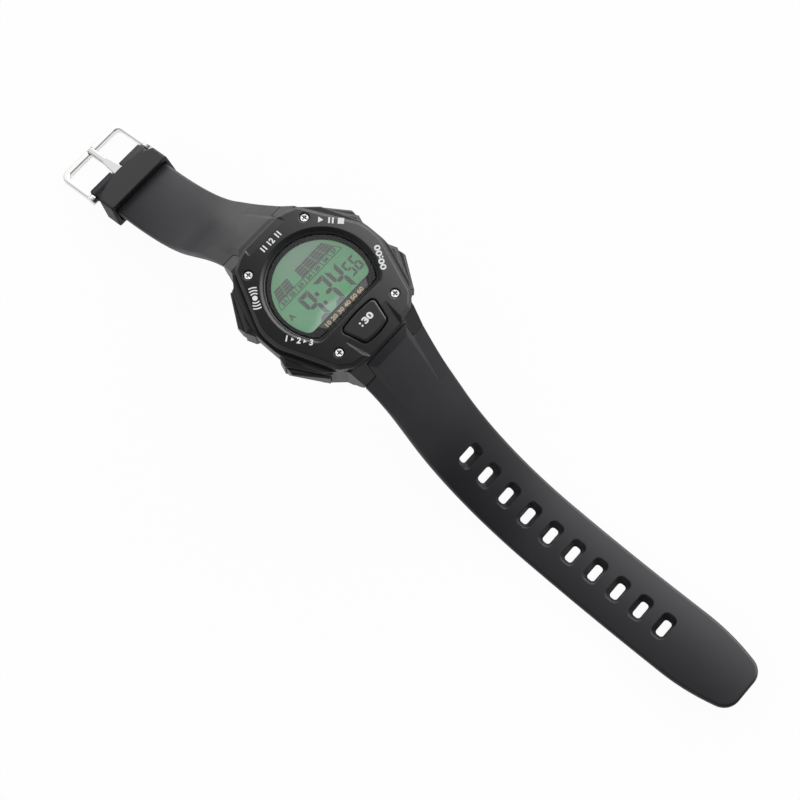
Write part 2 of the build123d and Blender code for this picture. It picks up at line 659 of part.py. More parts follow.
def make_button_cap():
    """Long pad of a side button, proud at one end, drawn for 2 o'clock along +X."""
    plan = Polygon(
        (CAP_INNER, -CAP_SHORT), (SHOULDER_REACH, -CAP_SHORT),
        (CAP_OUTER, CAP_END_RUN - CAP_SHORT), (SHOULDER_REACH + CAP_LOW_STAND, CAP_LONG),
        (CAP_INNER, CAP_LONG), align=None,
    )
    cap = slab(plan, CAP_BOTTOM, CAP_TOP)
    face_edge = cap.faces().sort_by(Axis.Z)[-1].edges().sort_by(Axis.X)[-1]
    cap = chamfer(face_edge, CAP_EDGE_CHAMFER)
    return cap - front_prism([
        (CAP_OUTER, CAP_BELT_Z), (CAP_OUTER - CAP_DRAFT, CAP_BOTTOM),
        (CAP_OUTER + OVERRUN, CAP_BOTTOM), (CAP_OUTER + OVERRUN, CAP_BELT_Z),
    ], CAP_LONG + OVERRUN)


def make_button_stem():
    """Steel stem with a neck for its clip, pressed against the pad."""
    stem = radial_rod(STEM_RADIUS, STEM_INNER, CAP_INNER)
    neck = radial_rod(STEM_RADIUS, SPOT_FACE - CLIP_THICKNESS - FIT, SPOT_FACE)
    neck -= radial_rod(STEM_NECK_RADIUS, SPOT_FACE - CLIP_THICKNESS - FIT, SPOT_FACE)
    return stem - neck


def make_button_clip():
    """Open retaining clip in the stem's neck, resting on the spot face."""
    clip = radial_rod(CLIP_RADIUS, SPOT_FACE - CLIP_THICKNESS, SPOT_FACE)
    clip -= radial_rod(STEM_NECK_RADIUS + FIT, SPOT_FACE - CLIP_THICKNESS, SPOT_FACE)
    low = BUTTON_AXIS_Z - CLIP_RADIUS
    return clip - radial_box(STEM_INNER, SPOT_FACE, CLIP_MOUTH / 2, low, BUTTON_AXIS_Z)


def make_button_spring():
    """Return spring round the stem, between the well's floor and the pad."""
    height = CAP_INNER - SPRING_WELL_FLOOR - 2 * SPRING_WIRE_RADIUS - 2 * FIT
    coil = Helix(pitch=height / SPRING_TURNS, height=height, radius=SPRING_MEAN_RADIUS)
    wire = Plane(coil @ 0, z_dir=coil % 0) * Circle(SPRING_WIRE_RADIUS)
    spring = sweep(wire, path=coil, is_frenet=True)
    base = Plane(
        (SPRING_WELL_FLOOR + SPRING_WIRE_RADIUS + FIT, 0, BUTTON_AXIS_Z), z_dir=(1, 0, 0)
    )
    return base * spring


def make_button_seals():
    """Four rubber rings in the grooves of the stem bores."""
    ring = radial_rod(SEAL_RADIUS - FIT, SEAL_POSITION + FIT, SEAL_POSITION + SEAL_WIDTH - FIT)
    ring -= radial_rod(STEM_RADIUS + FIT / 2, SEAL_POSITION, SEAL_POSITION + SEAL_WIDTH)
    return Compound([at_hour(angle, ring) for angle in BUTTONS.values()])


def make_bar_tube(half, y, z):
    """Hollow tube of a spring bar."""
    tube = rod_x(BAR_TUBE_RADIUS, -half, half, y, z)
    return tube - rod_x(BAR_TUBE_RADIUS - BAR_WALL, -half, half, y, z)


def make_bar_pins(half, reach, y, z):
    """Two pins of a spring bar, each with a shoulder and a tail inside the tube."""
    inner = half - BAR_PIN_TAIL
    pin = rod_x(BAR_PIN_RADIUS, inner, half + reach, y, z)
    pin += rod_x(BAR_TUBE_RADIUS - BAR_WALL - FIT, inner, half - BAR_PIN_SHOULDER, y, z)
    return Compound(both_sides(pin))


class StrapPath:
    """Top surface of a strap seen from the side: straight runs and bends.

    runs holds (length, radius) pairs in order from the case, where a radius
    of zero is a straight run and any other is a bend that levels the strap.
    """

    def __init__(self, bend_y, end_slope, rise_radius, rise_angle, end_y):
        slope = math.radians(STRAP_ROOT_SLOPE)
        first = (bend_y - STRAP_TOP_Y) / math.cos(slope)
        bend = STRAP_BEND_RADIUS * (slope - math.radians(end_slope))
        self.runs = [(first, 0), (bend, STRAP_BEND_RADIUS)]
        if rise_angle:
            self.runs.append((rise_radius * math.radians(rise_angle), rise_radius))
        y, z, angle = self.at(sum(length for length, radius in self.runs))
        self.runs.append(((end_y - y) / math.cos(angle), 0))
        self.length = sum(length for length, radius in self.runs)

    def at(self, distance):
        """Place (y, z) and slope in radians at a distance from the case."""
        y, z, angle = STRAP_TOP_Y, STRAP_TOP_Z, -math.radians(STRAP_ROOT_SLOPE)
        for length, radius in self.runs:
            step = min(distance, length)
            if radius:
                turned = angle + step / radius
                y += radius * (math.sin(turned) - math.sin(angle))
                z += radius * (math.cos(angle) - math.cos(turned))
                angle = turned
            else:
                y += step * math.cos(angle)
                z += step * math.sin(angle)
            distance -= step
            if distance <= 0:
                break
        return y, z, angle

    def point(self, distance, depth=0):
        """Point of the side view at a depth below the top surface."""
        y, z, angle = self.at(distance)
        return Vector(0, y + depth * math.sin(angle), z - depth * math.cos(angle))

    def plane(self, distance, depth=0):
        """Plane that lies in the strap: X across it, Y along it, Z out of its top."""
        angle = self.at(distance)[2]
        normal = (0, -math.sin(angle), math.cos(angle))
        return Plane(self.point(distance, depth), x_dir=(1, 0, 0), z_dir=normal)

    def depth(self, point):
        """Depth of a point of the side view below the top surface."""
        low, high = 0, self.length
        while high - low > FIT / 100:
            middle = (low + high) / 2
            y, z, angle = self.at(middle)
            if (point.Y - y) * math.cos(angle) + (point.Z - z) * math.sin(angle) > 0:
                low = middle
            else:
                high = middle
        y, z, angle = self.at(low)
        return (point.Y - y) * math.sin(angle) - (point.Z - z) * math.cos(angle)

    def edges(self, depth):
        """Edges of the side view at one depth."""
        result = []
        before = 0
        for length, radius in self.runs:
            ends = [self.point(before, depth), self.point(before + length, depth)]
            middle = self.point(before + length / 2, depth)
            result.append(ThreePointArc(ends[0], middle, ends[1]) if radius else Line(*ends))
            before += length
        return result


def strap_plan(end):
    """Plan outline of a strap: flared root, then the edges of its +X side to its end."""
    middle_y = (CASE_END_Y + STRAP_FLARE_END_Y) / 2
    root = (STRAP_ROOT_HALF_WIDTH, CASE_END_Y)
    last = end[-1] @ 1
    half = make_face([
        ThreePointArc(root, (STRAP_HALF_WIDTH + STRAP_ROOT_FLARE / 4, middle_y), end[0] @ 0),
        *end,
        Polyline(last, (0, last.Y), (0, STRAP_TOP_Y), (STRAP_ROOT_HALF_WIDTH, STRAP_TOP_Y), root),
    ])
    return half + mirror(half, about=Plane.YZ)


def strap_profile(path):
    """Side view of a strap at its even thickness."""
    ends = [
        Line(path.point(at), path.point(at, STRAP_THICKNESS)) for at in (0, path.length)
    ]
    return make_face(path.edges(0) + path.edges(STRAP_THICKNESS) + ends)


def strap_tab(path):
    """Thick middle of a strap's root, which fits between the lugs round the spring bar."""
    slope = math.radians(STRAP_ROOT_SLOPE)
    first = path.runs[0][0]
    low = path.point(first, STRAP_THICKNESS)
    inside = path.point(first, STRAP_THICKNESS / 2)
    tab = side_prism([
        (STRAP_TOP_Y, STRAP_TOP_Z - STRAP_THICKNESS), (STRAP_TOP_Y, BAR_Z),
        (BAR_Y - math.sin(slope) * HUB_RADIUS, BAR_Z - math.cos(slope) * HUB_RADIUS),
        (low.Y, low.Z), (inside.Y, inside.Z),
    ], TAB_HALF)
    return tab + rod_x(HUB_RADIUS, -TAB_HALF, TAB_HALF, BAR_Y, BAR_Z)


def shoulder_cut():
    """Space of the lugs beside the tab, round about the spring bar so that the strap folds."""
    low = CASE_UNDERSIDE - SEAM
    end = CASE_END_Y + SEAM
    lug = [(0, low), (BAR_Y, low), (BAR_Y, BAR_Z), (end, BAR_Z), (end, CASE_TOP), (0, CASE_TOP)]
    width = STRAP_ROOT_HALF_WIDTH
    block = side_prism(lug, width) + rod_x(end - BAR_Y, -width, width, BAR_Y, BAR_Z)
    return block - side_prism([(0, 0), (2 * end, 0), (2 * end, CASE_TOP), (0, CASE_TOP)], TAB_HALF)


def root_band(path):
    """Wedge that tips the first stretch of a strap's top towards the case."""
    end = path.point(ROOT_BAND_LENGTH)
    high = BEZEL_TOP + OVERRUN
    return side_prism([
        (end.Y, end.Z), (STRAP_TOP_Y, STRAP_TOP_Z - ROOT_BAND_DROP),
        (STRAP_TOP_Y, high), (end.Y, high),
    ], STRAP_ROOT_HALF_WIDTH)


def make_strap(path, end):
    """Strap half with its hub, shoulders, eased edges, root panel and band."""
    body = extrude(strap_profile(path), amount=STRAP_ROOT_HALF_WIDTH, dir=(1, 0, 0), both=True)
    body &= slab(strap_plan(end), -2 * STRAP_BEND_RADIUS, STRAP_TOP_Z)
    rims = [
        edge for edge in body.edges()
        if (edge @ 0.5).Y > CASE_END_Y and abs((edge @ 0.5).X) > FIT
    ]
    top = [edge for edge in rims if abs(path.depth(edge @ 0.5)) < FIT]
    body = fillet(top, STRAP_EDGE_RADIUS)
    rims = [
        edge for edge in body.edges()
        if (edge @ 0.5).Y > CASE_END_Y and abs((edge @ 0.5).X) > FIT
    ]
    under = [edge for edge in rims if abs(path.depth(edge @ 0.5) - STRAP_THICKNESS) < FIT]
    body = chamfer(under, STRAP_UNDER_CHAMFER)
    body -= shoulder_cut()
    body += strap_tab(path)
    body -= rod_x(BAR_TUBE_RADIUS + FIT, -LUG_HALF_WIDTH, LUG_HALF_WIDTH, BAR_Y, BAR_Z)
    for wedge in root_steps():
        body -= wedge
    return body - root_band(path)


def buckle_path():
    """Side view of the strap at 12 o'clock."""
    return StrapPath(BUCKLE_STRAP_BEND_Y, BUCKLE_STRAP_END_SLOPE, 0, 0, BUCKLE_STRAP_END_Y)


def hole_path():
    """Side view of the strap at 6 o'clock, drawn towards +Y and mirrored later."""
    return StrapPath(
        HOLE_STRAP_BEND_Y, 0, HOLE_STRAP_RISE_RADIUS, HOLE_STRAP_RISE_ANGLE, HOLE_STRAP_END_Y
    )


def buckle_bar_plane():
    """Plane at the buckle's spring bar: X along the bar, Y towards the end bar."""
    path = buckle_path()
    return path.plane(path.length - BUCKLE_BAR_SETBACK, STRAP_THICKNESS / 2)


def make_strap_12():
    """Strap half that carries the buckle on a hub at its end."""
    side = Line(
        (STRAP_HALF_WIDTH, STRAP_FLARE_END_Y), (STRAP_HALF_WIDTH, BUCKLE_STRAP_END_Y)
    )
    body = make_strap(buckle_path(), [side])
    base = buckle_bar_plane()
    body += base * rod_x(BUCKLE_HUB_RADIUS, -STRAP_HALF_WIDTH, STRAP_HALF_WIDTH, 0, 0)
    body -= base * rod_x(BAR_TUBE_RADIUS + FIT, -ARM_INNER, ARM_INNER, 0, 0)
    notch = Pos(0, BUCKLE_BAR_SETBACK - BUCKLE_NOTCH_DEPTH / 2 + OVERRUN / 2) * Rectangle(
        2 * BUCKLE_NOTCH_HALF, BUCKLE_NOTCH_DEPTH + OVERRUN
    )
    return body - base * slab(notch, -STRAP_THICKNESS, STRAP_THICKNESS)


def hole_section(path, distance, depth):
    """Rounded outline of a tapered hole at a depth below the strap's top."""
    share = depth / STRAP_THICKNESS
    length = HOLE_TOP_LENGTH + (HOLE_BOTTOM_LENGTH - HOLE_TOP_LENGTH) * share
    width = HOLE_TOP_WIDTH + (HOLE_BOTTOM_WIDTH - HOLE_TOP_WIDTH) * share
    return path.plane(distance, depth) * RectangleRounded(length, width, width * HOLE_CORNER_SHARE)


def make_strap_6():
    """Strap half with the tapered holes and the rounded tip."""
    path = hole_path()
    taper = (STRAP_HALF_WIDTH, HOLE_STRAP_END_Y - TIP_LENGTH)
    corner = (TIP_CORNER_SHARE * STRAP_HALF_WIDTH, HOLE_STRAP_END_Y - TIP_CORNER_LENGTH)
    side = Line((STRAP_HALF_WIDTH, STRAP_FLARE_END_Y), taper)
    draw_in = TangentArc(taper, corner, tangent=side % 1)
    heading = draw_in % 1
    turn = 90 - math.degrees(math.asin(-heading.X))
    round_off = JernArc(corner, heading, TIP_CORNER_LENGTH / (1 + heading.X), turn)
    body = make_strap(path, [side, draw_in, round_off])
    margin = STRAP_THICKNESS / 4
    for number in range(HOLE_COUNT):
        distance = path.length - HOLE_END_DISTANCE - number * HOLE_PITCH
        body -= loft([
            hole_section(path, distance, -margin),
            hole_section(path, distance, STRAP_THICKNESS + margin),
        ])
    return mirror(body, about=Plane.XZ)


# Plan of the buckle in its own plane, from the bar's axis
WINDOW_END = BUCKLE_BAR_SETBACK + FRAME_WINDOW
FRAME_END = WINDOW_END + END_BAR_WIDTH
ARM_INNER = STRAP_HALF_WIDTH + BUCKLE_GAP
ARM_OUTER = ARM_INNER + ARM_WIDTH
FRAME_TOP_Z = FRAME_THICKNESS / 2
TONGUE_SEAT_Z = FRAME_TOP_Z - TONGUE_REST_DEPTH


def make_buckle_frame():
    """Steel frame: two arms on the spring bar and an end bar with a tongue groove."""
    outer = Pos(0, FRAME_END / 2) * Rectangle(2 * ARM_OUTER, FRAME_END)
    outer = fillet(outer.vertices().sort_by(Axis.Y)[-2:], FRAME_CORNER_RADIUS)
    window = Pos(0, WINDOW_END / 2) * Rectangle(2 * ARM_INNER, WINDOW_END)
    window = fillet(window.vertices().sort_by(Axis.Y)[-2:], FRAME_CORNER_RADIUS / 2)
    frame = slab(outer - window, -FRAME_TOP_Z, FRAME_TOP_Z)
    long_edges = frame.faces().sort_by(Axis.Z)[-1].edges() + frame.faces().sort_by(Axis.Z)[0].edges()
    frame = fillet([e for e in long_edges if (e @ 0.5).Y > FIT], FRAME_EDGE_RADIUS)
    for side in both_sides(rod_x(BOSS_RADIUS, ARM_INNER, ARM_OUTER, 0, 0)):
        frame += side
    hole_reach = ARM_INNER + BUCKLE_PIN_REACH + FIT
    frame -= rod_x(BAR_PIN_RADIUS + FIT, -hole_reach, hole_reach, 0, 0)
    groove = Pos(0, FRAME_END) * Rectangle(2 * TONGUE_HALF + 2 * SLIP, 2 * END_BAR_WIDTH + SLIP)
    frame -= slab(groove, TONGUE_SEAT_Z, FRAME_THICKNESS)
    return buckle_bar_plane() * frame


def make_buckle_tongue():
    """Steel tongue: a loop round the spring bar, a wide root and a slender arm."""
    tongue = rod_x(TONGUE_LOOP_RADIUS, -TONGUE_LOOP_HALF, TONGUE_LOOP_HALF, 0, 0)
    top = TONGUE_SEAT_Z + TONGUE_THICKNESS
    root = mirrored_outline([(TONGUE_HALF, TONGUE_ROOT_LENGTH), (TONGUE_LOOP_HALF, 0)])
    tongue += slab(root, TONGUE_SEAT_Z, top)
    tip_y = WINDOW_END + TONGUE_OVERHANG
    arm = Pos(0, tip_y / 2) * Rectangle(2 * TONGUE_HALF, tip_y)
    arm = fillet(arm.vertices().sort_by(Axis.Y)[-2:], TONGUE_HALF / 2)
    blade = slab(arm, TONGUE_SEAT_Z, top)
    blade = chamfer(blade.faces().sort_by(Axis.Z)[-1].edges().filter_by(Axis.Y), TONGUE_THICKNESS / 4)
    tongue += blade
    tongue -= rod_x(BAR_TUBE_RADIUS + FIT, -TONGUE_LOOP_HALF, TONGUE_LOOP_HALF, 0, 0)
    return buckle_bar_plane() * tongue


def make_keeper():
    """Resin loop round the strap, with headroom for the other strap's tail."""
    path = buckle_path()
    base = path.plane(path.length - KEEPER_SETBACK - KEEPER_LENGTH, 0)
    inner_half = STRAP_HALF_WIDTH + KEEPER_SIDE_GAP
    outer_half = inner_half + KEEPER_SIDE_WALL
    high = KEEPER_TOP_GAP
    low = high - 2 * STRAP_THICKNESS - KEEPER_PLAY
    outer = Polygon(
        (-outer_half, low - KEEPER_FLOOR), (outer_half, low - KEEPER_FLOOR),
        (outer_half - KEEPER_SLOPE_INSET, high + KEEPER_ROOF),
        (KEEPER_SLOPE_INSET - outer_half, high + KEEPER_ROOF), align=None,
    )
    outer = fillet(outer.vertices(), KEEPER_CORNER_RADIUS)
    inner = Pos(0, (low + high) / 2) * Rectangle(2 * inner_half, high - low)
    section = outer - inner
    band = extrude(Plane.XZ * section, amount=KEEPER_LENGTH, dir=(0, 1, 0))
    side_end = KEEPER_LENGTH - KEEPER_REAR_SAG
    plan = make_face([
        Polyline((-outer_half, side_end), (-outer_half, 0), (outer_half, 0), (outer_half, side_end)),
        ThreePointArc((outer_half, side_end), (0, KEEPER_LENGTH), (-outer_half, side_end)),
    ])
    return base * (band & slab(plan, low - 2 * KEEPER_FLOOR, high + 2 * KEEPER_ROOF))


# Places of the small pieces on the circuit board, in plan
CHIP_PLACE = (-4.5, 3.5)
CAN_PLACE = (4.0, -5.0)
COIL_PLACE = (5.5, 5.5)
BUZZER_SPRING_PLACE = (-6.9, 1.5)


def chip_block(clearance):
    """Resin blob over the chip, or its pocket."""
    side = CHIP_LENGTH + 2 * clearance
    outline = RectangleRounded(side, side, CHIP_HEIGHT)
    return slab(Pos(*CHIP_PLACE) * outline, FRAME_BOTTOM, FRAME_BOTTOM + CHIP_HEIGHT + clearance)


def can_rod(clearance):
    """Metal can of the quartz, lying on the board, or its pocket."""
    x, y = CAN_PLACE
    half = CAN_LENGTH / 2 + clearance
    centre_z = FRAME_BOTTOM + CAN_RADIUS
    return rod_x(CAN_RADIUS + clearance, x - half, x + half, y, centre_z)


def coil_drum(clearance):
    """Upright coil for the buzzer, or its pocket."""
    height = COIL_HEIGHT + clearance
    return disc(COIL_RADIUS + clearance, FRAME_BOTTOM, FRAME_BOTTOM + height, *COIL_PLACE)


def strip_block(clearance):
    """Rubber contact strip between the board and the LCD's ledge, or its slot."""
    outline = Rectangle(STRIP_LENGTH + 2 * clearance, STRIP_WIDTH + 2 * clearance)
    return slab(Pos(0, -STRIP_Y) * outline, FRAME_BOTTOM, REAR_GLASS_TOP)


def make_module_frame():
    """Plastic frame that carries the LCD and the light panel, and hides the chips."""
    step_z = CAVITY_TOP - SLIP
    frame = disc(FRAME_RADIUS, FRAME_BOTTOM, step_z)
    frame += slab(flat_circle(SEAT_RADIUS - SLIP, SEAT_FLAT - SLIP), step_z, FRAME_TOP)
    frame -= chip_block(SLIP) + can_rod(SLIP) + coil_drum(SLIP) + strip_block(SLIP)
    notch = radial_box(CONTACT_INNER - SLIP, CAVITY_RADIUS, SPOT_HALF + SLIP, FRAME_BOTTOM, step_z)
    for angle in BUTTONS.values():
        frame -= at_hour(angle, notch)
    return frame


def make_lcd_glass(top, flat):
    """One pane of the LCD."""
    return slab(flat_circle(LCD_RADIUS, flat), top - LCD_GLASS_THICKNESS, top)


def make_light_panel():
    """Panel that lights the display, cut back for the contact strip."""
    outline = flat_circle(LCD_RADIUS, LCD_FLAT - LCD_LEDGE)
    return slab(outline, FRAME_TOP, LIGHT_PANEL_TOP)


def make_circuit_board():
    """Round board with notches for the button stems and a hole for the buzzer spring."""
    board = disc(BOARD_RADIUS, BOARD_BOTTOM, FRAME_BOTTOM)
    notch = radial_box(
        CONTACT_INNER + CONTACT_THICKNESS + SLIP, FRAME_RADIUS, SPOT_HALF, BOARD_BOTTOM, FRAME_BOTTOM
    )
    for angle in BUTTONS.values():
        board -= at_hour(angle, notch)
    return board


def make_switch_contacts():
    """Four upright contact leaves that the button stems press."""
    outer = CONTACT_INNER + CONTACT_THICKNESS
    leaf = radial_box(
        CONTACT_INNER, outer, CONTACT_WIDTH / 2, FRAME_BOTTOM, BUTTON_AXIS_Z + CONTACT_HEIGHT / 2
    )
    return Compound([at_hour(angle, leaf) for angle in BUTTONS.values()])


def make_battery():
    """Coin cell with its smaller cap upwards."""
    can = disc(BATTERY_RADIUS, BATTERY_BOTTOM, BATTERY_TOP - CELL_STEP, *BATTERY_PLACE)
    cap = disc(BATTERY_RADIUS - 2 * CELL_STEP, BATTERY_TOP - CELL_STEP, BATTERY_TOP, *BATTERY_PLACE)
    can = chamfer(can.faces().sort_by(Axis.Z)[0].edges(), CELL_STEP)
    return can + cap


def make_battery_clip():
    """Sprung strip across the cell, with a leg up to the board at each end."""
    x, y = BATTERY_PLACE
    reach = BATTERY_RADIUS + CLIP_STRIP_THICKNESS + 2 * SLIP
    low = BATTERY_BOTTOM - CLIP_STRIP_THICKNESS
    clip = slab(Pos(x, y) * Rectangle(CLIP_STRIP_WIDTH, 2 * reach), low, BATTERY_BOTTOM)
    leg = Rectangle(CLIP_STRIP_WIDTH, CLIP_STRIP_THICKNESS)
    for side in (-1, 1):
        leg_y = y + side * (reach - CLIP_STRIP_THICKNESS / 2)
        clip += slab(Pos(x, leg_y) * leg, low, BOARD_BOTTOM)
    return clip


CLIP_BOTTOM = BATTERY_BOTTOM - CLIP_STRIP_THICKNESS
INSULATOR_BOTTOM = CLIP_BOTTOM - INSULATOR_THICKNESS
BUZZER_BOTTOM = BACK_THICKNESS - BACK_DISH_DEPTH
BUZZER_TOP = BUZZER_BOTTOM + BUZZER_THICKNESS


def plate_with_hole(radius, bottom, top):
    """Thin round plate with a hole for the buzzer spring."""
    hole = disc(SPRING_HOLE_RADIUS, bottom, top, *BUZZER_SPRING_PLACE)
    return disc(radius, bottom, top) - hole


def make_buzzer_spring():
    """Small upright spring between the buzzer disc and the board."""
    height = BOARD_BOTTOM - BUZZER_TOP - 2 * (SPRING_WIRE_RADIUS + FIT)
    coil = Helix(pitch=height / BUZZER_SPRING_TURNS, height=height, radius=BUZZER_SPRING_RADIUS)
    wire = Plane(coil @ 0, z_dir=coil % 0) * Circle(SPRING_WIRE_RADIUS)
    spring = sweep(wire, path=coil, is_frenet=True)
    return Pos(*BUZZER_SPRING_PLACE, BUZZER_TOP + SPRING_WIRE_RADIUS + FIT) * spring


def write_head():
    """Case, bezel, crystal, case back and their fastenings."""
    write(make_case_body(), "case_body")
    write(make_bezel(), "bezel")
    write(make_front_pad(), "front_pad")
    write(make_bezel_screws(), "bezel_screws")
    write(make_crystal(), "crystal")
    write(make_crystal_gasket(), "crystal_gasket")
    write(make_display_mask(), "display_mask")
    write(make_case_back(), "case_back")
    write(make_back_screws(), "case_back_screws")
    write(make_back_gasket(), "back_gasket")


def write_buttons():
    """Four sprung side buttons and their seals."""
    write(make_button_seals(), "button_seals")
    for name, angle in BUTTONS.items():
        write(at_hour(angle, handed(angle, make_button_cap())), name + "_cap")
        write(at_hour(angle, make_button_stem()), name + "_stem")
        write(at_hour(angle, make_button_clip()), name + "_clip")
        write(at_hour(angle, make_button_spring()), name + "_spring")


def write_module():
    """Display, circuit, battery and buzzer."""
    polariser = flat_circle(LCD_RADIUS, LCD_FLAT)
    write(slab(polariser, FRONT_GLASS_TOP, MASK_BOTTOM), "front_polariser")
    write(make_lcd_glass(FRONT_GLASS_TOP, LCD_FLAT), "lcd_front_glass")
    write(make_lcd_glass(REAR_GLASS_TOP, LCD_FLAT - LCD_LEDGE), "lcd_rear_glass")
    reflector = flat_circle(LCD_RADIUS, LCD_FLAT - LCD_LEDGE)
    write(slab(reflector, LIGHT_PANEL_TOP, REFLECTOR_TOP), "reflector")
    write(make_light_panel(), "light_panel")
    write(strip_block(0), "contact_strip")
    write(make_module_frame(), "module_frame")
    write(make_circuit_board(), "circuit_board")
    write(chip_block(0), "chip_blob")
    write(can_rod(0), "quartz_can")
    write(coil_drum(0), "coil")
    write(make_switch_contacts(), "switch_contacts")
    write(make_battery(), "battery")
    write(make_battery_clip(), "battery_clip")
    insulator = plate_with_hole(MODULE_PLATE_RADIUS, INSULATOR_BOTTOM, CLIP_BOTTOM)
    write(insulator, "insulator")
    plate_bottom = INSULATOR_BOTTOM - MODULE_PLATE_THICKNESS
    plate = plate_with_hole(MODULE_PLATE_RADIUS, plate_bottom, INSULATOR_BOTTOM)
    write(plate, "module_back_plate")
    write(disc(BUZZER_RADIUS, BUZZER_BOTTOM, BUZZER_TOP), "buzzer_disc")
    write(make_buzzer_spring(), "buzzer_spring")


def write_straps():
    """Strap halves, spring bars, buckle, tongue and keeper."""
    write(make_strap_12(), "strap_12")
    write(make_strap_6(), "strap_6")
    tube = make_bar_tube(TAB_HALF - SLIP, BAR_Y, BAR_Z)
    pins = make_bar_pins(TAB_HALF - SLIP, BAR_PIN_REACH, BAR_Y, BAR_Z)
    write(tube, "spring_bar_12_tube")
    write(pins, "spring_bar_12_pins")
    write(mirror(tube, about=Plane.XZ), "spring_bar_6_tube")
    write(mirror(pins, about=Plane.XZ), "spring_bar_6_pins")
    base = buckle_bar_plane()
    write(base * make_bar_tube(ARM_INNER - SLIP, 0, 0), "buckle_bar_tube")
    write(base * make_bar_pins(ARM_INNER - SLIP, BUCKLE_PIN_REACH, 0, 0), "buckle_bar_pins")
    write(make_buckle_frame(), "buckle_frame")
    write(make_buckle_tongue(), "buckle_tongue")
    write(make_keeper(), "keeper")


os.makedirs("parts", exist_ok=True)
write_head()
write_buttons()
write_module()
write_straps()
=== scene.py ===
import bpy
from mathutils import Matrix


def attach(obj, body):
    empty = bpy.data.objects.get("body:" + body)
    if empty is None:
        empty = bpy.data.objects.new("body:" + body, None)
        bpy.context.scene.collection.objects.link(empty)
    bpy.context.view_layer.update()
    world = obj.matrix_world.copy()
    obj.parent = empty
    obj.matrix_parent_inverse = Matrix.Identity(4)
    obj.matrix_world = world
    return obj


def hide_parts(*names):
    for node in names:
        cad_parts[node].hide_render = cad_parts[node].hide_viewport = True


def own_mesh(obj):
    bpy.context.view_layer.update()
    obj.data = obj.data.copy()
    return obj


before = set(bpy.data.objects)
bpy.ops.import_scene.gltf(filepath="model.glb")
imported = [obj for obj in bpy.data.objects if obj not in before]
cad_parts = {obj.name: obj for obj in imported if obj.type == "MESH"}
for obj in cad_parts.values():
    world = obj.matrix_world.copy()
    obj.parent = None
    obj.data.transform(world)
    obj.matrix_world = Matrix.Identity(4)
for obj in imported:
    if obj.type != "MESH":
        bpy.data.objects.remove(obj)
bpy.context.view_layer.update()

import math

import bpy
from mathutils import Vector

# Camera
# A long lens held high on the 7 o'clock side and looking down on the display, turned so
# that the straps run from the upper left of the picture to the lower right.
CAMERA_PLACE = (-0.0942, -0.1052, 0.3918)
CAMERA_RIGHT = (0.6626, -0.7490, 0.0034)
CAMERA_UP = (0.7173, 0.6359, 0.2847)
CAMERA_BACK = (-0.2154, -0.1862, 0.9586)
LENS_MM = 81
SENSOR_MM = 36
NEAREST = 0.01

camera_data = bpy.data.cameras.new("camera")
camera_data.lens = LENS_MM
camera_data.sensor_width = SENSOR_MM
camera_data.clip_start = NEAREST
camera = bpy.data.objects.new("camera", camera_data)
bpy.context.scene.collection.objects.link(camera)
bpy.context.scene.camera = camera
for row, axes in enumerate(zip(CAMERA_RIGHT, CAMERA_UP, CAMERA_BACK, CAMERA_PLACE)):
    for column, value in enumerate(axes):
        camera.matrix_world[row][column] = value
bpy.context.scene.view_settings.view_transform = "Standard"


# Table
# A plain white sheet under the buckle's end bar and the belly of the holed strap.
# The head is level in this frame, so the sheet is what leans. In gloss it carries painted
# light towards the buckle, where the soft box lights it, and painted shade beside the holed strap.
TABLE_TILT = math.radians(2.677)
TABLE_DROP = 0.03768
TABLE_HALF = 1.5
TABLE_TONE = (0.88, 0.88, 0.88, 1)
TABLE_GLOW = 0.95
TABLE_GLOSS_REACH = (-0.02, 0.10)
TABLE_GLOSS_LEVELS = (0.04, 0.65)
WHITE = (1, 1, 1, 1)


def new_material(name):
    """Empty material, with its node tree."""
    material = bpy.data.materials.new(name)
    material.use_nodes = True
    material.node_tree.nodes.clear()
    return material, material.node_tree


def fill(tree, node, inputs):
    """Give each named or numbered input of a node its value, or link it to a socket."""
    for name, value in inputs.items():
        if isinstance(value, bpy.types.NodeSocket):
            tree.links.new(value, node.inputs[name])
        else:
            node.inputs[name].default_value = value
    return node


def add_node(tree, kind, inputs):
    """New node of a kind, with its inputs filled."""
    return fill(tree, tree.nodes.new("ShaderNode" + kind), inputs)


def worked_out(tree, operation, first, second):
    """Result of a sum on two values, each a number or a socket."""
    node = tree.nodes.new("ShaderNodeMath")
    node.operation = operation
    return fill(tree, node, {0: first, 1: second}).outputs[0]


def mapped(tree, value, reach, levels=(0, 1), kind="LINEAR"):
    """Value carried over from its reach to other levels."""
    node = tree.nodes.new("ShaderNodeMapRange")
    node.interpolation_type = kind
    fill(tree, node, {"Value": value, "From Min": reach[0], "From Max": reach[1]})
    fill(tree, node, {"To Min": levels[0], "To Max": levels[1]})
    return node.outputs["Result"]


def shared(tree, share, plain, special):
    """Shader that turns from a plain one to a special one by a share."""
    return add_node(tree, "MixShader", {0: share, 1: plain, 2: special}).outputs[0]


def background_rays(tree):
    """Rays that see the background straight or through glass, and those that mirror it."""
    rays = tree.nodes.new("ShaderNodeLightPath").outputs
    straight = worked_out(tree, "MAXIMUM", rays["Is Camera Ray"], rays["Is Transmission Ray"])
    return straight, rays["Is Glossy Ray"]


def object_place(tree):
    """Place on the object, in metres."""
    return tree.nodes.new("ShaderNodeTexCoord").outputs["Object"]


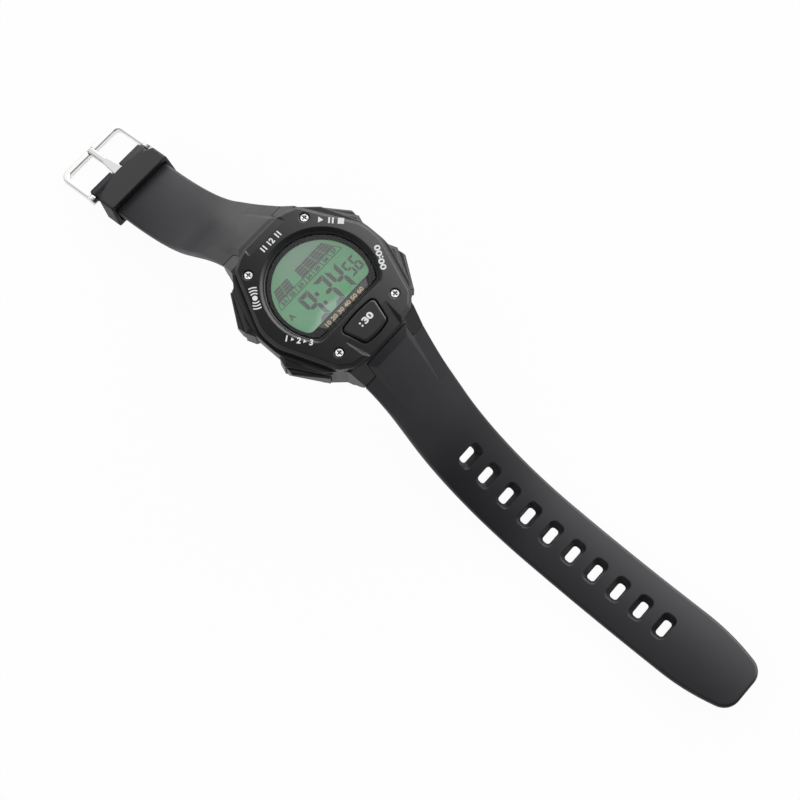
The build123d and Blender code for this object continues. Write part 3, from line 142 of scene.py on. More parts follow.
table_white, tree = new_material("table_white")
straight, glossy = background_rays(tree)
place = add_node(tree, "SeparateXYZ", {0: object_place(tree)}).outputs
towards_buckle = worked_out(tree, "ADD", place["X"], place["Y"])
gloss = mapped(tree, towards_buckle, TABLE_GLOSS_REACH, TABLE_GLOSS_LEVELS)
seen = worked_out(tree, "MULTIPLY", straight, TABLE_GLOW)
mirrored = worked_out(tree, "MULTIPLY", glossy, gloss)
paper = add_node(tree, "BsdfDiffuse", {"Color": TABLE_TONE}).outputs[0]
glow = add_node(tree, "Emission", {"Color": WHITE}).outputs[0]
sheet = shared(tree, worked_out(tree, "MAXIMUM", seen, mirrored), paper, glow)
add_node(tree, "OutputMaterial", {"Surface": sheet})

table_mesh = bpy.data.meshes.new("table")
lean = Vector((0, math.cos(TABLE_TILT), -math.sin(TABLE_TILT))) * TABLE_HALF
side = Vector((TABLE_HALF, 0, 0))
middle = Vector((0, -math.sin(TABLE_TILT), -math.cos(TABLE_TILT))) * TABLE_DROP
corners = [middle - side - lean, middle + side - lean, middle + side + lean, middle - side + lean]
table_mesh.from_pydata(corners, [], [(0, 1, 2, 3)])
table = bpy.data.objects.new("table", table_mesh)
bpy.context.scene.collection.objects.link(table)
table_mesh.materials.append(table_white)


# Light
# A white room. In gloss it falls off towards 9 o'clock and towards the holed strap, as
# the sheen shows. One large soft box stands behind the buckle and one at the right.
ROOM_LIGHT = 0.80
BACKDROP_LIGHT = 1
RIGHT_FALL = ("X", (-0.10, 0.70), (0.30, 2.20))
BUCKLE_FALL = ("Y", (-0.70, 0.45), (0.20, 0.92))
HORIZON_FALL = ("Z", (0.04, 0.34), (0.65, 0.00))
BOX_RISE = ("X", (0.47, 0.85), (0.00, 3.20))
LAMPS = {
    "box_behind": ((0.5, 2.0, 1.05), (4.0, 2.2), 8),
    "box_right": ((2.0, 0.4, 1.20), (2.4, 1.8), 9),
}

world = bpy.data.worlds.new("room")
bpy.context.scene.world = world
world.use_nodes = True
tree = world.node_tree
tree.nodes.clear()
whole_sky = tree.nodes.new("ShaderNodeTexCoord").outputs["Generated"]
direction = add_node(tree, "SeparateXYZ", {0: whole_sky}).outputs
right, buckle, horizon, box = [
    mapped(tree, direction[axis], reach, levels, kind="SMOOTHSTEP")
    for axis, reach, levels in (RIGHT_FALL, BUCKLE_FALL, HORIZON_FALL, BOX_RISE)
]
sheen = worked_out(tree, "MULTIPLY", right, buckle)
sheen = worked_out(tree, "MAXIMUM", sheen, horizon)
sheen = worked_out(tree, "ADD", sheen, box)
room, mirror, backdrop = [
    add_node(tree, "Background", {"Color": WHITE, "Strength": strength}).outputs[0]
    for strength in (ROOM_LIGHT, sheen, BACKDROP_LIGHT)
]
straight, glossy = background_rays(tree)
room = shared(tree, glossy, room, mirror)
room = shared(tree, straight, room, backdrop)
add_node(tree, "OutputWorld", {"Surface": room})

for name, (place, size, watts) in LAMPS.items():
    lamp_data = bpy.data.lights.new(name, "AREA")
    lamp_data.shape = "RECTANGLE"
    lamp_data.size, lamp_data.size_y = size
    lamp_data.energy = watts
    lamp = bpy.data.objects.new(name, lamp_data)
    bpy.context.scene.collection.objects.link(lamp)
    lamp.location = place
    lamp.rotation_euler = (-Vector(place)).to_track_quat("-Z", "Y").to_euler()


# Case
# Mid-case of black glass-filled resin, injection moulded, with a fine spark-eroded
# grain. The lugs, the button shoulders and the neck of the crystal are one moulding.
MM = 0.001
SOFT_SAMPLES = 6
AIR_REACH = (0.45, 0.90)
# share of the colour kept in crevices, as painted shade
CREVICE_PAINTED_SHADE = 0.2
CREVICE_ROUGHNESS = 0.95
DRIFT_SCALE = 90
DRIFT_REACH = (0.3, 0.7)
DRIFT_SHADE = 0.25
DRIFT_GLOSS = (1.12, 0.90)
DUST_SCALE = 420
DUST_SPECK = 0.045
DUST_TONE = (0.20, 0.20, 0.20, 1)
BLACK_RESIN = (0.0080, 0.0080, 0.0092)


def toned(colour, share=1):
    """Colour made darker or lighter, as a node takes it."""
    return [channel * share for channel in colour] + [1]


def blended(tree, share, first, second, kind="RGBA"):
    """Value between two, each a colour, a number or a socket."""
    node = tree.nodes.new("ShaderNodeMix")
    node.data_type = kind
    return fill(tree, node, {"Factor": share, "A": first, "B": second}).outputs["Result"]


def noise(tree, place, scale, detail):
    """Fine unevenness over a place."""
    return add_node(tree, "TexNoise", {"Vector": place, "Scale": scale, "Detail": detail}).outputs


def open_air(tree, reach):
    """1 on open faces and 0 in corners, looked for over a reach in millimetres."""
    air = tree.nodes.new("ShaderNodeAmbientOcclusion")
    air.samples = SOFT_SAMPLES
    fill(tree, air, {"Distance": reach * MM})
    return mapped(tree, air.outputs["AO"], AIR_REACH)


def eased(tree, radius):
    """Direction of the surface, with its edges eased by a radius in millimetres."""
    edges = tree.nodes.new("ShaderNodeBevel")
    edges.samples = SOFT_SAMPLES
    return fill(tree, edges, {"Radius": radius * MM}).outputs["Normal"]


def raised(tree, normal, height, distance):
    """Direction of the surface, with a relief laid over it."""
    relief = {"Normal": normal, "Height": height, "Distance": distance}
    return add_node(tree, "Bump", relief).outputs["Normal"]


def moulded(name, colour, roughness, grain, depth, rounding=0.40, crevice=1.2, crown=0, dust=0):
    """Moulded plastic: drifting tone and gloss, fine grain, eased edges, painted shade in crevices."""
    material, tree = new_material(name)
    place = object_place(tree)

    # tone and gloss drift slowly over the moulding
    drift = noise(tree, place, DRIFT_SCALE, detail=3)["Fac"]
    tone = blended(tree, drift, toned(colour, 1 - DRIFT_SHADE), toned(colour, 1 + DRIFT_SHADE))
    gloss = mapped(tree, drift, DRIFT_REACH, [roughness * share for share in DRIFT_GLOSS])

    # a few specks of dust
    if dust:
        specks = add_node(tree, "TexVoronoi", {"Vector": place, "Scale": DUST_SCALE}).outputs
        dot = worked_out(tree, "LESS_THAN", specks["Distance"], DUST_SPECK)
        chance = add_node(tree, "SeparateColor", {0: specks["Color"]}).outputs[0]
        few = worked_out(tree, "LESS_THAN", chance, dust)
        tone = blended(tree, worked_out(tree, "MULTIPLY", dot, few), tone, DUST_TONE)

    # painted shade darkens the crevices, which are also dull
    out_of_shade = open_air(tree, crevice)
    tone = blended(tree, out_of_shade, toned(colour, CREVICE_PAINTED_SHADE), tone)
    gloss = blended(tree, out_of_shade, CREVICE_ROUGHNESS, gloss, kind="FLOAT")

    # grain of the mould over the eased edges, on a face that may be crowned across
    normal = eased(tree, rounding)
    if crown:
        across = add_node(tree, "SeparateXYZ", {0: place}).outputs["X"]
        square = worked_out(tree, "MULTIPLY", across, across)
        arch = worked_out(tree, "MULTIPLY", square, -0.5 / (crown * MM))
        normal = raised(tree, normal, arch, 1)
    spark = noise(tree, place, 1 / (grain * MM), detail=4)["Fac"]
    normal = raised(tree, normal, spark, depth * MM)

    skin = add_node(tree, "BsdfPrincipled", {"Base Color": tone, "Roughness": gloss, "Normal": normal})
    add_node(tree, "OutputMaterial", {"Surface": skin.outputs[0]})
    return material


def give(material, *names):
    """Put a material on the slots of CAD nodes."""
    for name in names:
        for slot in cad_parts[name].material_slots:
            slot.material = material


case_resin = moulded("case_resin", BLACK_RESIN, roughness=0.33, grain=0.22, depth=0.008)
give(case_resin, "case_body")


# Bezel
# Flat octagonal plate of the same black resin with a satin face, a little crowned
# across. Four screws hold it down, and its lowered tongue at 6 o'clock frames the pad.
BEZEL_CROWN = 95
bezel_resin = moulded(
    "bezel_resin", BLACK_RESIN, roughness=0.30, grain=0.18, depth=0.008, crown=BEZEL_CROWN
)
give(bezel_resin, "bezel")


# Metal
# Screws, buckle, tongue and spring bars of stainless steel. The buckle is polished and
# its tongue satin; bars and case back are brushed. Painted shade darkens their corners and the screws'
# crosses.
CORNER_SHADE = (0.03, 0.03, 0.03, 1)
WARMTH = 0.99
LINE_SCALE = 2600
LINE_GLOSS = (0.75, 1.30)


def steel(name, tone, roughness, line_depth, stretch=(1, 1, 1), rounding=0.15, crevice=0.25):
    """Steel with fine lines in its polish and painted shade in its corners."""
    material, tree = new_material(name)
    # painted shade in the corners, by ambient occlusion
    shaded_tone = blended(tree, open_air(tree, crevice), CORNER_SHADE, (tone, tone, tone * WARMTH, 1))
    drawn_out = add_node(tree, "Mapping", {"Vector": object_place(tree), "Scale": stretch}).outputs[0]
    lines = noise(tree, drawn_out, LINE_SCALE, detail=4)["Fac"]
    metal = add_node(tree, "BsdfPrincipled", {
        "Metallic": 1,
        "Base Color": shaded_tone,
        "Roughness": mapped(tree, lines, (0, 1), [roughness * share for share in LINE_GLOSS]),
        "Normal": raised(tree, eased(tree, rounding), lines, line_depth * MM),
    })
    add_node(tree, "OutputMaterial", {"Surface": metal.outputs[0]})
    return material


# painted shade darkens the screws' crosses and the rings round their heads
screw_steel = steel(
    "screw_steel", tone=0.84, roughness=0.26, line_depth=0.030, rounding=0.40, crevice=0.80
)
brushed = steel("brushed_steel", tone=0.62, roughness=0.30, line_depth=0.006, stretch=(0.06, 1, 1))
polished = steel("buckle_steel", tone=0.90, roughness=0.12, line_depth=0.002, rounding=0.40, crevice=0.5)
satin = steel("tongue_steel", tone=0.66, roughness=0.24, line_depth=0.004, rounding=0.25, crevice=0.5)
give(screw_steel, "bezel_screws", "case_back_screws")
give(brushed, "case_back", "battery", "module_back_plate", "quartz_can")
give(brushed, "spring_bar_12_tube", "spring_bar_12_pins", "spring_bar_6_tube", "spring_bar_6_pins")
give(brushed, "buckle_bar_tube", "buckle_bar_pins")
give(polished, "buckle_frame")
give(satin, "buckle_tongue")


# Printed marks on the bezel
# Pad-printed white marks beside each button and at 12 o'clock: plain numbers and
# signs for light, start and stop, set back, and choose. The ink stands 0.02 mm proud.
BEZEL_TOP = 11.0
INK_DEPTH = 0.02
SIGN_HEIGHT = 1.45
BOLD = 0.05
SPECKLE_SCALE = 5200
THIN_INK = 0.80
CURVE_STEPS = 3
ARROW_HALF = 0.42            # share of its height
LIGHT_PLACE, LIGHT_ANGLE = (-12.4, 8.9), 56
LAMP_RADIUS = 0.62
LAMP_RAYS = ((1.15, 42), (1.85, 30), (2.55, 22))
RAY_WIDTH = 0.30
START_PLACE, START_ANGLE = (12.9, 8.75), -52
ARROW_AT, STOP_AT = -2.35, 2.25
PAUSE_AT, PAUSE_WIDTH = (-0.45, 0.40), 0.42
TWELVE_PLACE = (0.0, 15.5)
TWELVE_BARS, TWELVE_BAR_WIDTH = (-2.75, -1.95, 1.95, 2.75), 0.34
SET_BACK_PLACE, SET_BACK_ANGLE = (13.6, -5.6), 58
SET_BACK_WIDTH = 6.2
CHOOSE_PLACE, CHOOSE_ANGLE = (-13.2, -5.2), -58
CHOOSE_STEP = 2.8
CHOOSE_ARROW = 0.85


def inked(name, colour, roughness=0.5, metallic=0.0, specular=0.5):
    """Thin print with slightly broken ink."""
    material, tree = new_material(name)
    speckle = noise(tree, object_place(tree), SPECKLE_SCALE, detail=2)["Fac"]
    ink = add_node(tree, "BsdfPrincipled", {
        "Base Color": blended(tree, speckle, toned(colour, THIN_INK), toned(colour)),
        "Roughness": roughness,
        "Metallic": metallic,
        "Specular IOR Level": specular,
    })
    add_node(tree, "OutputMaterial", {"Surface": ink.outputs[0]})
    return material


def carried(name, mesh, material, body="head"):
    """Object made from a mesh, with its material, riding on a body."""
    mesh.materials.clear()
    mesh.materials.append(material)
    piece = bpy.data.objects.new(name, mesh)
    bpy.context.scene.collection.objects.link(piece)
    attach(piece, body)
    return piece


def turned(x, y, angle):
    """Point turned about the origin by an angle in degrees."""
    c, s = math.cos(math.radians(angle)), math.sin(math.radians(angle))
    return c * x - s * y, s * x + c * y


def placed(outlines, x, y, angle):
    """Turn outlines by an angle in degrees and move them to a place."""
    turned_outlines = [[turned(u, v, angle) for u, v in outline] for outline in outlines]
    return [[(x + u, y + v) for u, v in outline] for outline in turned_outlines]


def plates(name, outlines, bottom, depth, material):
    """Thin plates cut to outlines in millimetres, as one closed piece."""
    points, faces = [], []
    for outline in outlines:
        area = sum(a[0] * b[1] - b[0] * a[1] for a, b in zip(outline, outline[1:] + outline[:1]))
        if area < 0:
            outline = outline[::-1]
        first, count = len(points), len(outline)
        points += [Vector((x, y, bottom)) * MM for x, y in outline]
        points += [Vector((x, y, bottom + depth)) * MM for x, y in outline]
        faces.append([first + n for n in reversed(range(count))])
        faces.append([first + count + n for n in range(count)])
        for n in range(count):
            after = (n + 1) % count
            faces.append([first + n, first + after, first + count + after, first + count + n])
    mesh = bpy.data.meshes.new(name)
    mesh.from_pydata(points, [], faces)
    return carried(name, mesh, material)


def printed(name, text, x, y, angle, bottom, height, material, width=None, weight=BOLD):
    """Printed numbers about a place in millimetres, in a plain upright face."""
    face = bpy.data.curves.new(name, "FONT")
    face.body = text
    face.size = height * MM
    face.offset = weight * MM
    face.extrude = INK_DEPTH / 2 * MM
    face.resolution_u = CURVE_STEPS
    line = bpy.data.objects.new(name, face)
    mesh = bpy.data.meshes.new_from_object(line)
    bpy.data.objects.remove(line)
    low, high = [
        [pick(vertex.co[axis] for vertex in mesh.vertices) for axis in (0, 1)] for pick in (min, max)
    ]
    tall = height * MM / (high[1] - low[1])
    wide = width * MM / (high[0] - low[0]) if width else tall
    for vertex in mesh.vertices:
        u = (vertex.co.x - (low[0] + high[0]) / 2) * wide
        v = (vertex.co.y - (low[1] + high[1]) / 2) * tall
        u, v = turned(u, v, angle)
        lift = vertex.co.z + (bottom + INK_DEPTH / 2) * MM
        vertex.co = (x * MM + u, y * MM + v, lift)
    return carried(name, mesh, material)


def bar(x, y, width, height):
    """Rectangle about its middle."""
    return [
        (x - width / 2, y - height / 2), (x + width / 2, y - height / 2),
        (x + width / 2, y + height / 2), (x - width / 2, y + height / 2),
    ]


def ring_point(radius, degrees):
    """Point on a circle about the origin."""
    return radius * math.cos(math.radians(degrees)), radius * math.sin(math.radians(degrees))


def bent_stroke(radius, width, start, stop, steps=12):
    """Outline of a bent stroke between two angles in degrees."""
    angles = [start + (stop - start) * n / steps for n in range(steps + 1)]
    outer = [ring_point(radius + width / 2, angle) for angle in angles]
    inner = [ring_point(radius - width / 2, angle) for angle in angles]
    return outer + inner[::-1]


def arrow(x, height):
    """Triangle that points along the line of print."""
    half = height * ARROW_HALF
    return [(x - half, height / 2), (x - half, -height / 2), (x + half, 0)]


white_ink = inked("white_ink", (0.88, 0.88, 0.87))
lamp_sign = [[ring_point(LAMP_RADIUS, degrees) for degrees in range(0, 360, 30)]]
for radius, spread in LAMP_RAYS:
    lamp_sign.append(bent_stroke(radius, RAY_WIDTH, -spread, spread))
    lamp_sign.append(bent_stroke(radius, RAY_WIDTH, 180 - spread, 180 + spread))
start_sign = [arrow(ARROW_AT, SIGN_HEIGHT)]
start_sign += [bar(x, 0, PAUSE_WIDTH, SIGN_HEIGHT) for x in PAUSE_AT]
start_sign.append(bar(STOP_AT, 0, SIGN_HEIGHT, SIGN_HEIGHT))
twelve_sign = [bar(x, 0, TWELVE_BAR_WIDTH, SIGN_HEIGHT) for x in TWELVE_BARS]
choose_sign = [arrow(x, CHOOSE_ARROW) for x in (-CHOOSE_STEP / 2, CHOOSE_STEP / 2)]
SIGNS = {
    "sign_light": (lamp_sign, LIGHT_PLACE, LIGHT_ANGLE),
    "sign_start": (start_sign, START_PLACE, START_ANGLE),
    "sign_12_bars": (twelve_sign, TWELVE_PLACE, 0),
    "sign_choose_arrows": (choose_sign, CHOOSE_PLACE, CHOOSE_ANGLE),
}
for name, (outlines, place, angle) in SIGNS.items():
    plates(name, placed(outlines, *place, angle), BEZEL_TOP, INK_DEPTH, white_ink)
printed("sign_12", "12", *TWELVE_PLACE, 0, BEZEL_TOP, SIGN_HEIGHT, white_ink)
printed(
    "sign_set_back", "00:00", *SET_BACK_PLACE, SET_BACK_ANGLE, BEZEL_TOP, SIGN_HEIGHT, white_ink,
    width=SET_BACK_WIDTH
)
for number in (1, 2, 3):
    u, v = turned((number - 2) * CHOOSE_STEP, 0, CHOOSE_ANGLE)
    x, y = CHOOSE_PLACE[0] + u, CHOOSE_PLACE[1] + v
    name = "sign_choose_" + str(number)
    printed(name, str(number), x, y, CHOOSE_ANGLE, BEZEL_TOP, SIGN_HEIGHT, white_ink)


# Pad at 6 o'clock
# Domed insert of black resin, pressed into the tongue of the bezel. Half a minute is
# printed on it in white, as two dots and a number.
PAD_TOP = 11.15
PAD_NUMBER_PLACE = (0.95, -13.1)
PAD_NUMBER_HEIGHT, PAD_NUMBER_WIDTH = 1.65, 2.9
PAD_NUMBER_WEIGHT = 0.07
COLON_X = -1.25
COLON_YS = (-12.75, -13.55)
COLON_DOT = 0.42
pad_resin = moulded("pad_resin", BLACK_RESIN, roughness=0.28, grain=0.2, depth=0.008)
give(pad_resin, "front_pad")
printed(
    "sign_30", "30", *PAD_NUMBER_PLACE, 0, PAD_TOP, PAD_NUMBER_HEIGHT, white_ink,
    width=PAD_NUMBER_WIDTH, weight=PAD_NUMBER_WEIGHT
)
colon = [bar(COLON_X, y, COLON_DOT, COLON_DOT) for y in COLON_YS]
plates("sign_30_colon", colon, PAD_TOP, INK_DEPTH, white_ink)


# Crystal
# Flat mineral glass with a chamfered edge and a straight side at 6 o'clock, bonded on
# its gasket. Light for the display falls through it without a shadow.
CRYSTAL_TINT = (0.97, 0.99, 0.98, 1)
CRYSTAL_ROUGHNESS = 0.02
CRYSTAL_IOR = 1.5
crystal_glass, tree = new_material("crystal_glass")
glass = add_node(tree, "BsdfPrincipled", {
    "Base Color": CRYSTAL_TINT,
    "Roughness": CRYSTAL_ROUGHNESS,
    "IOR": CRYSTAL_IOR,
    "Transmission Weight": 1,
}).outputs[0]
clear = tree.nodes.new("ShaderNodeBsdfTransparent").outputs[0]
shadow = tree.nodes.new("ShaderNodeLightPath").outputs["Is Shadow Ray"]
add_node(tree, "OutputMaterial", {"Surface": shared(tree, shadow, glass, clear)})
give(crystal_glass, "crystal")


# Seals and the black border of the display
# Black rubber gaskets, and a dull black border film round the window. Its print is
# bonded to the crystal's underside as far as the gasket, and bites into it by 0.01 mm.
BORDER_RADIUS = 11.8
BORDER_FLAT = 7.2
BORDER_SPREAD = 0.42
seal_rubber = inked("seal_rubber", (0.008, 0.008, 0.008), roughness=0.6)
give(seal_rubber, "crystal_gasket", "back_gasket", "button_seals", "contact_strip")
border_film = inked("border_film", (0.004, 0.004, 0.0045), roughness=0.4, specular=0.08)
give(border_film, "display_mask")
border_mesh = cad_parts["display_mask"].data.copy()
bond = max(vertex.co.z for vertex in border_mesh.vertices)
half_print = INK_DEPTH / 2 * MM
for vertex in border_mesh.vertices:
    x, y, z = vertex.co
    if y < -BORDER_FLAT * MM:
        y -= BORDER_SPREAD * MM
    elif math.hypot(x, y) > BORDER_RADIUS * MM:
        x, y = x * (1 + BORDER_SPREAD / BORDER_RADIUS), y * (1 + BORDER_SPREAD / BORDER_RADIUS)
    vertex.co = (x, y, bond + half_print if z > bond - INK_DEPTH * MM else bond - half_print)
border_print = carried("border_print", border_mesh, border_film)


# Display
# Reflective LCD: a grey-green film over the glass, with dark violet-grey figures. A painted
# reflection on the crystal makes it hazy towards 12 o'clock and paler at the lower left; it is deeper green
# by the last figure, where that painted reflection is weakest.
FILM_TOP = 8.75
FIGURE_Z = 8.77
FIGURE_DEPTH = 0.02
FILM_ROUGHNESS = 0.55
FILM_DRIFT_SCALE = 210
FILM_DRIFT = 0.10
WAVER = 0.0016

# soft spots of painted reflection: x and y of the middle, half sizes, turn in degrees, where the spot is
# full
HAZE_REFLECTION = ((3.6, 9.6), (10.5, 4.4), 0, 0.8)
PALE_REFLECTION = ((-3.6, -6.2), (8.6, 3.9), 8, 0.35)
DEEP_UNREFLECTED = ((4.3, -3.3), (3.6, 2.0), 15, 0.7)


def film(name, plain, *reflection_colours):
    """Display film whose tone drifts, with a colour for each soft spot of painted reflection."""
    material, tree = new_material(name)
    place = object_place(tree)
    drift = noise(tree, place, FILM_DRIFT_SCALE, detail=2)
    waver = blended(tree, WAVER, place, drift["Color"], kind="VECTOR")
    tone = blended(tree, drift["Fac"], toned(plain, 1 - FILM_DRIFT), toned(plain, 1 + FILM_DRIFT))
    for ((x, y), (half_x, half_y), turn, full), colour in zip((HAZE_REFLECTION, PALE_REFLECTION, DEEP_UNREFLECTED), reflection_colours):
        spot = tree.nodes.new("ShaderNodeMapping")
        spot.vector_type = "TEXTURE"
        fill(tree, spot, {
            "Vector": waver,
            "Location": (x * MM, y * MM, FILM_TOP * MM),
            "Rotation": (0, 0, math.radians(turn)),
            "Scale": (half_x * MM, half_y * MM, 1),
        })
        ball = tree.nodes.new("ShaderNodeTexGradient")
        ball.gradient_type = "SPHERICAL"
        inside = fill(tree, ball, {"Vector": spot.outputs["Vector"]}).outputs["Fac"]
        fade = mapped(tree, inside, (0, full), kind="SMOOTHSTEP")
        tone = blended(tree, fade, tone, toned(colour))
    sheet = add_node(tree, "BsdfPrincipled", {"Base Color": tone, "Roughness": FILM_ROUGHNESS})
    add_node(tree, "OutputMaterial", {"Surface": sheet.outputs[0]})
    return material


lcd_film = film(
    "lcd_film", (0.155, 0.395, 0.210), (0.235, 0.360, 0.270), (0.330, 0.520, 0.400), (0.100, 0.400, 0.165)
)
give(lcd_film, "front_polariser")
lcd_figures = film(
    "lcd_figures", (0.095, 0.088, 0.095), (0.125, 0.120, 0.120), (0.240, 0.250, 0.260), (0.070, 0.066, 0.070)
)
lcd_faint = film(
    "lcd_faint", (0.115, 0.115, 0.115), (0.120, 0.122, 0.120), (0.210, 0.225, 0.220), (0.110, 0.110, 0.110)
)

# seven strokes of a figure: top, upper left, upper right, middle, lower left, lower right, bottom
FIGURES = {
    "3": (0, 2, 3, 5, 6), "4": (1, 2, 3, 5), "5": (0, 1, 3, 5, 6), "6": (0, 1, 3, 4, 5, 6),
    "9": (0, 1, 2, 3, 5, 6),
}
SLANT = 0.045
TIME_FIGURES = (("9", -6.1), ("3", -1.1), ("4", 2.75))
TIME_SIZES = {"bottom": -5.65, "width": 3.25, "height": 7.65, "stroke": 0.98, "gap": 0.10}
TIME_DOTS, DOT_SIZE = ((-2.0, -0.35), (-2.15, -3.15)), (0.85, 1.0)
SECONDS_FIGURES = (("5", 6.55), ("6", 8.75))
SECONDS_SIZES = {"bottom": -3.75, "width": 1.85, "height": 4.0, "stroke": 0.55, "gap": 0.07}
ALARM_MARK = [(-10.5, -0.5), (-9.8, 1.2), (-9.1, -0.5), (-9.5, -0.5), (-9.8, 0.2), (-10.1, -0.5)]


def figure(sign, left, bottom, width, height, stroke, gap):
    """Outlines of a figure of the display, made of up to seven strokes."""
    half, cut = height / 2, stroke / 2
    flat = {
        0: [(gap, height), (width - gap, height), (width - gap - stroke, height - stroke),
            (gap + stroke, height - stroke)],
        3: [(cut + gap, half), (stroke + gap, half + cut), (width - stroke - gap, half + cut),
            (width - cut - gap, half), (width - stroke - gap, half - cut), (stroke + gap, half - cut)],
        6: [(gap, 0), (gap + stroke, stroke), (width - gap - stroke, stroke), (width - gap, 0)],
    }
    tall = [(0, height - gap), (stroke, height - gap - stroke), (stroke, half + cut + gap),
            (cut, half + gap), (0, half + cut + gap)]
    flat[1] = tall
    flat[2] = [(width - x, y) for x, y in tall]
    flat[4] = [(x, height - y) for x, y in tall]
    flat[5] = [(width - x, height - y) for x, y in tall]
    return [
        [(left + x + SLANT * (bottom + y), bottom + y) for x, y in flat[number]]
        for number in FIGURES[sign]
    ]


# the time, with small seconds and the mark of the alarm
time_figures = []
for sign, left in TIME_FIGURES:
    time_figures += figure(sign, left, **TIME_SIZES)
time_figures += [bar(x, y, *DOT_SIZE) for x, y in TIME_DOTS]
for sign, left in SECONDS_FIGURES:
    time_figures += figure(sign, left, **SECONDS_SIZES)
time_figures.append(ALARM_MARK)
plates("display_time", time_figures, FIGURE_Z, FIGURE_DEPTH, lcd_figures)

# week row of seven dated boxes, under a fan of level bars
FAN_COUNT = 7
FAN_HALF = 10.1
FAN_NARROWING = 0.47
FAN_SHIFT = -0.1
FIRST_DATE = 21
DATE_HEIGHT, DATE_WIDTH = 0.95, 1.5
BOX_LOW, BOX_HIGH = 3.0, 4.6
FAN_LOW, FAN_HIGH = 4.72, 7.45
FAN_ROWS = 4
ROW_FILL = 0.84
COLUMN_GAP = 0.035
FAN_LINE = 0.20
EMPTY_COLUMN = 2


def fan_x(share, y):
    """Place across the fan, which narrows towards 12 o'clock."""
    return (2 * share - 1) * (FAN_HALF - (y - BOX_LOW) * FAN_NARROWING) + FAN_SHIFT


def fan_cell(left, right, low, high):
    """Four-sided cell of the fan, between two shares across it and two heights."""
    return [
        (fan_x(left, low), low), (fan_x(right, low), low),
        (fan_x(right, high), high), (fan_x(left, high), high),
    ]


half_line = FAN_LINE / 2
grid = [bar(FAN_SHIFT, y, fan_x(1, y) - fan_x(0, y), FAN_LINE) for y in (BOX_LOW, BOX_HIGH)]
for n in range(FAN_COUNT + 1):
    low, high = fan_x(n / FAN_COUNT, BOX_LOW), fan_x(n / FAN_COUNT, BOX_HIGH)
    grid.append([
        (low - half_line, BOX_LOW + half_line), (low + half_line, BOX_LOW + half_line),
        (high + half_line, BOX_HIGH - half_line), (high - half_line, BOX_HIGH - half_line),
    ])
bars_up = []
for n in range(FAN_COUNT):
    y = (BOX_LOW + BOX_HIGH) / 2
    x = fan_x((n + 0.5) / FAN_COUNT, y)
    name, date = "display_date_" + str(n + 1), str(FIRST_DATE + n)
    printed(name, date, x, y, 0, FIGURE_Z, DATE_HEIGHT, lcd_figures, width=DATE_WIDTH)
    if n == EMPTY_COLUMN:
        continue
    row_height = (FAN_HIGH - FAN_LOW) / FAN_ROWS
    left, right = (n + COLUMN_GAP) / FAN_COUNT, (n + 1 - COLUMN_GAP) / FAN_COUNT
    for row in range(FAN_ROWS):
        low = FAN_LOW + row * row_height
        bars_up.append(fan_cell(left, right, low, low + row_height * ROW_FILL))
plates("display_week", grid, FIGURE_Z, FIGURE_DEPTH, lcd_figures)
plates("display_bars", bars_up, FIGURE_Z, FIGURE_DEPTH, lcd_faint)

# grey band and gold row of minute numbers, printed under the crystal below the window
BAND_Z = 8.95
BAND_OUTLINE = [(-7.6, -5.95), (8.2, -5.95), (7.2, -7.55), (-6.6, -7.55)]
GOLD_PLACE = (-0.1, -7.0)
GOLD_HEIGHT, GOLD_WIDTH = 1.1, 12.2
GOLD_WEIGHT = 0.03
GOLD_LIFT = 0.01
MINUTES = "10 20 30 40 50 60"
grey_ink = inked("grey_ink", (0.115, 0.108, 0.112))
gold_ink = inked("gold_ink", (0.82, 0.66, 0.42), roughness=0.4, metallic=0.2)
plates("display_band", [BAND_OUTLINE], BAND_Z, INK_DEPTH, grey_ink)
printed(
    "gold_row", MINUTES, *GOLD_PLACE, 0, BAND_Z + GOLD_LIFT, GOLD_HEIGHT, gold_ink,
    width=GOLD_WIDTH, weight=GOLD_WEIGHT
)


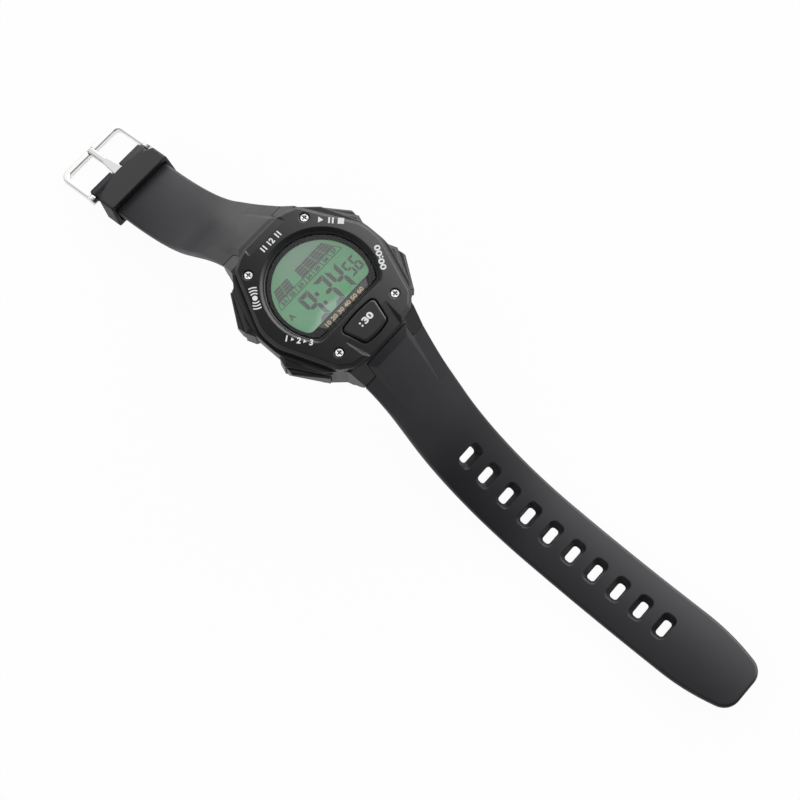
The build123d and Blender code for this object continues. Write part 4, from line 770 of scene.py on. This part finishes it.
# Buttons
# Four long pads of the case's resin on steel stems, each sprung and sealed. A press
# shuts the return spring against the floor of its well.
BUTTON_ANGLES = {"2": 30, "10": 150, "8": 210, "4": 330}
button_resin = moulded("button_resin", BLACK_RESIN, roughness=0.30, grain=0.2, depth=0.008)
for hour, degrees in BUTTON_ANGLES.items():
    button = "button_" + hour
    give(button_resin, button + "_cap")
    give(brushed, button + "_stem", button + "_clip", button + "_spring")
    spring = carried(button + "_return_spring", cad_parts[button + "_spring"].data.copy(), brushed)
    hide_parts(button + "_spring")
    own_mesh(spring)


# Straps and keeper
# Black polyurethane resin, softer and greyer than the case, moulded with a slight crown
# across. It has a satin face with a little dust on it.
STRAP_CROWN = 55
# painted shade darkens the slots of the straps and their hollows, over a reach of 2.6 mm, and the keeper's
# over 1.6 mm
strap_resin = moulded(
    "strap_resin", (0.0092, 0.0090, 0.0122), roughness=0.42, grain=0.26, depth=0.008,
    crevice=2.6, crown=STRAP_CROWN, dust=0.05
)
give(strap_resin, "strap_12", "strap_6")
keeper_resin = moulded(
    "keeper_resin", (0.0068, 0.0068, 0.0088), roughness=0.52, grain=0.24, depth=0.010,
    rounding=0.7, crevice=1.6
)
give(keeper_resin, "keeper")


# Module
# White plastic frame with the circuit board, the light panel and the coin cell in it,
# shut in the case. Its contacts and the buzzer are sprung sheet with a gold plating.
GRAIN = 0.3
SHUT_IN = {
    "frame_plastic": ((0.70, 0.70, 0.66), 0.45, 0.005, ("module_frame",)),
    "board_green": ((0.03, 0.16, 0.06), 0.35, 0.004, ("circuit_board",)),
    "chip_black": ((0.01, 0.01, 0.01), 0.3, 0.004, ("chip_blob",)),
    "amber_sheet": ((0.55, 0.36, 0.08), 0.35, 0.002, ("insulator",)),
    "pale_panel": ((0.62, 0.72, 0.66), 0.5, 0.002, ("light_panel", "reflector")),
}
for name, (colour, roughness, depth, pieces) in SHUT_IN.items():
    give(moulded(name, colour, roughness, GRAIN, depth), *pieces)
give(crystal_glass, "lcd_front_glass", "lcd_rear_glass")
contact_gold = inked("contact_gold", (0.83, 0.62, 0.30), roughness=0.25, metallic=1.0)
give(contact_gold, "switch_contacts", "battery_clip", "buzzer_disc", "buzzer_spring")
give(inked("copper_wire", (0.80, 0.42, 0.26), roughness=0.3, metallic=1.0), "coil")
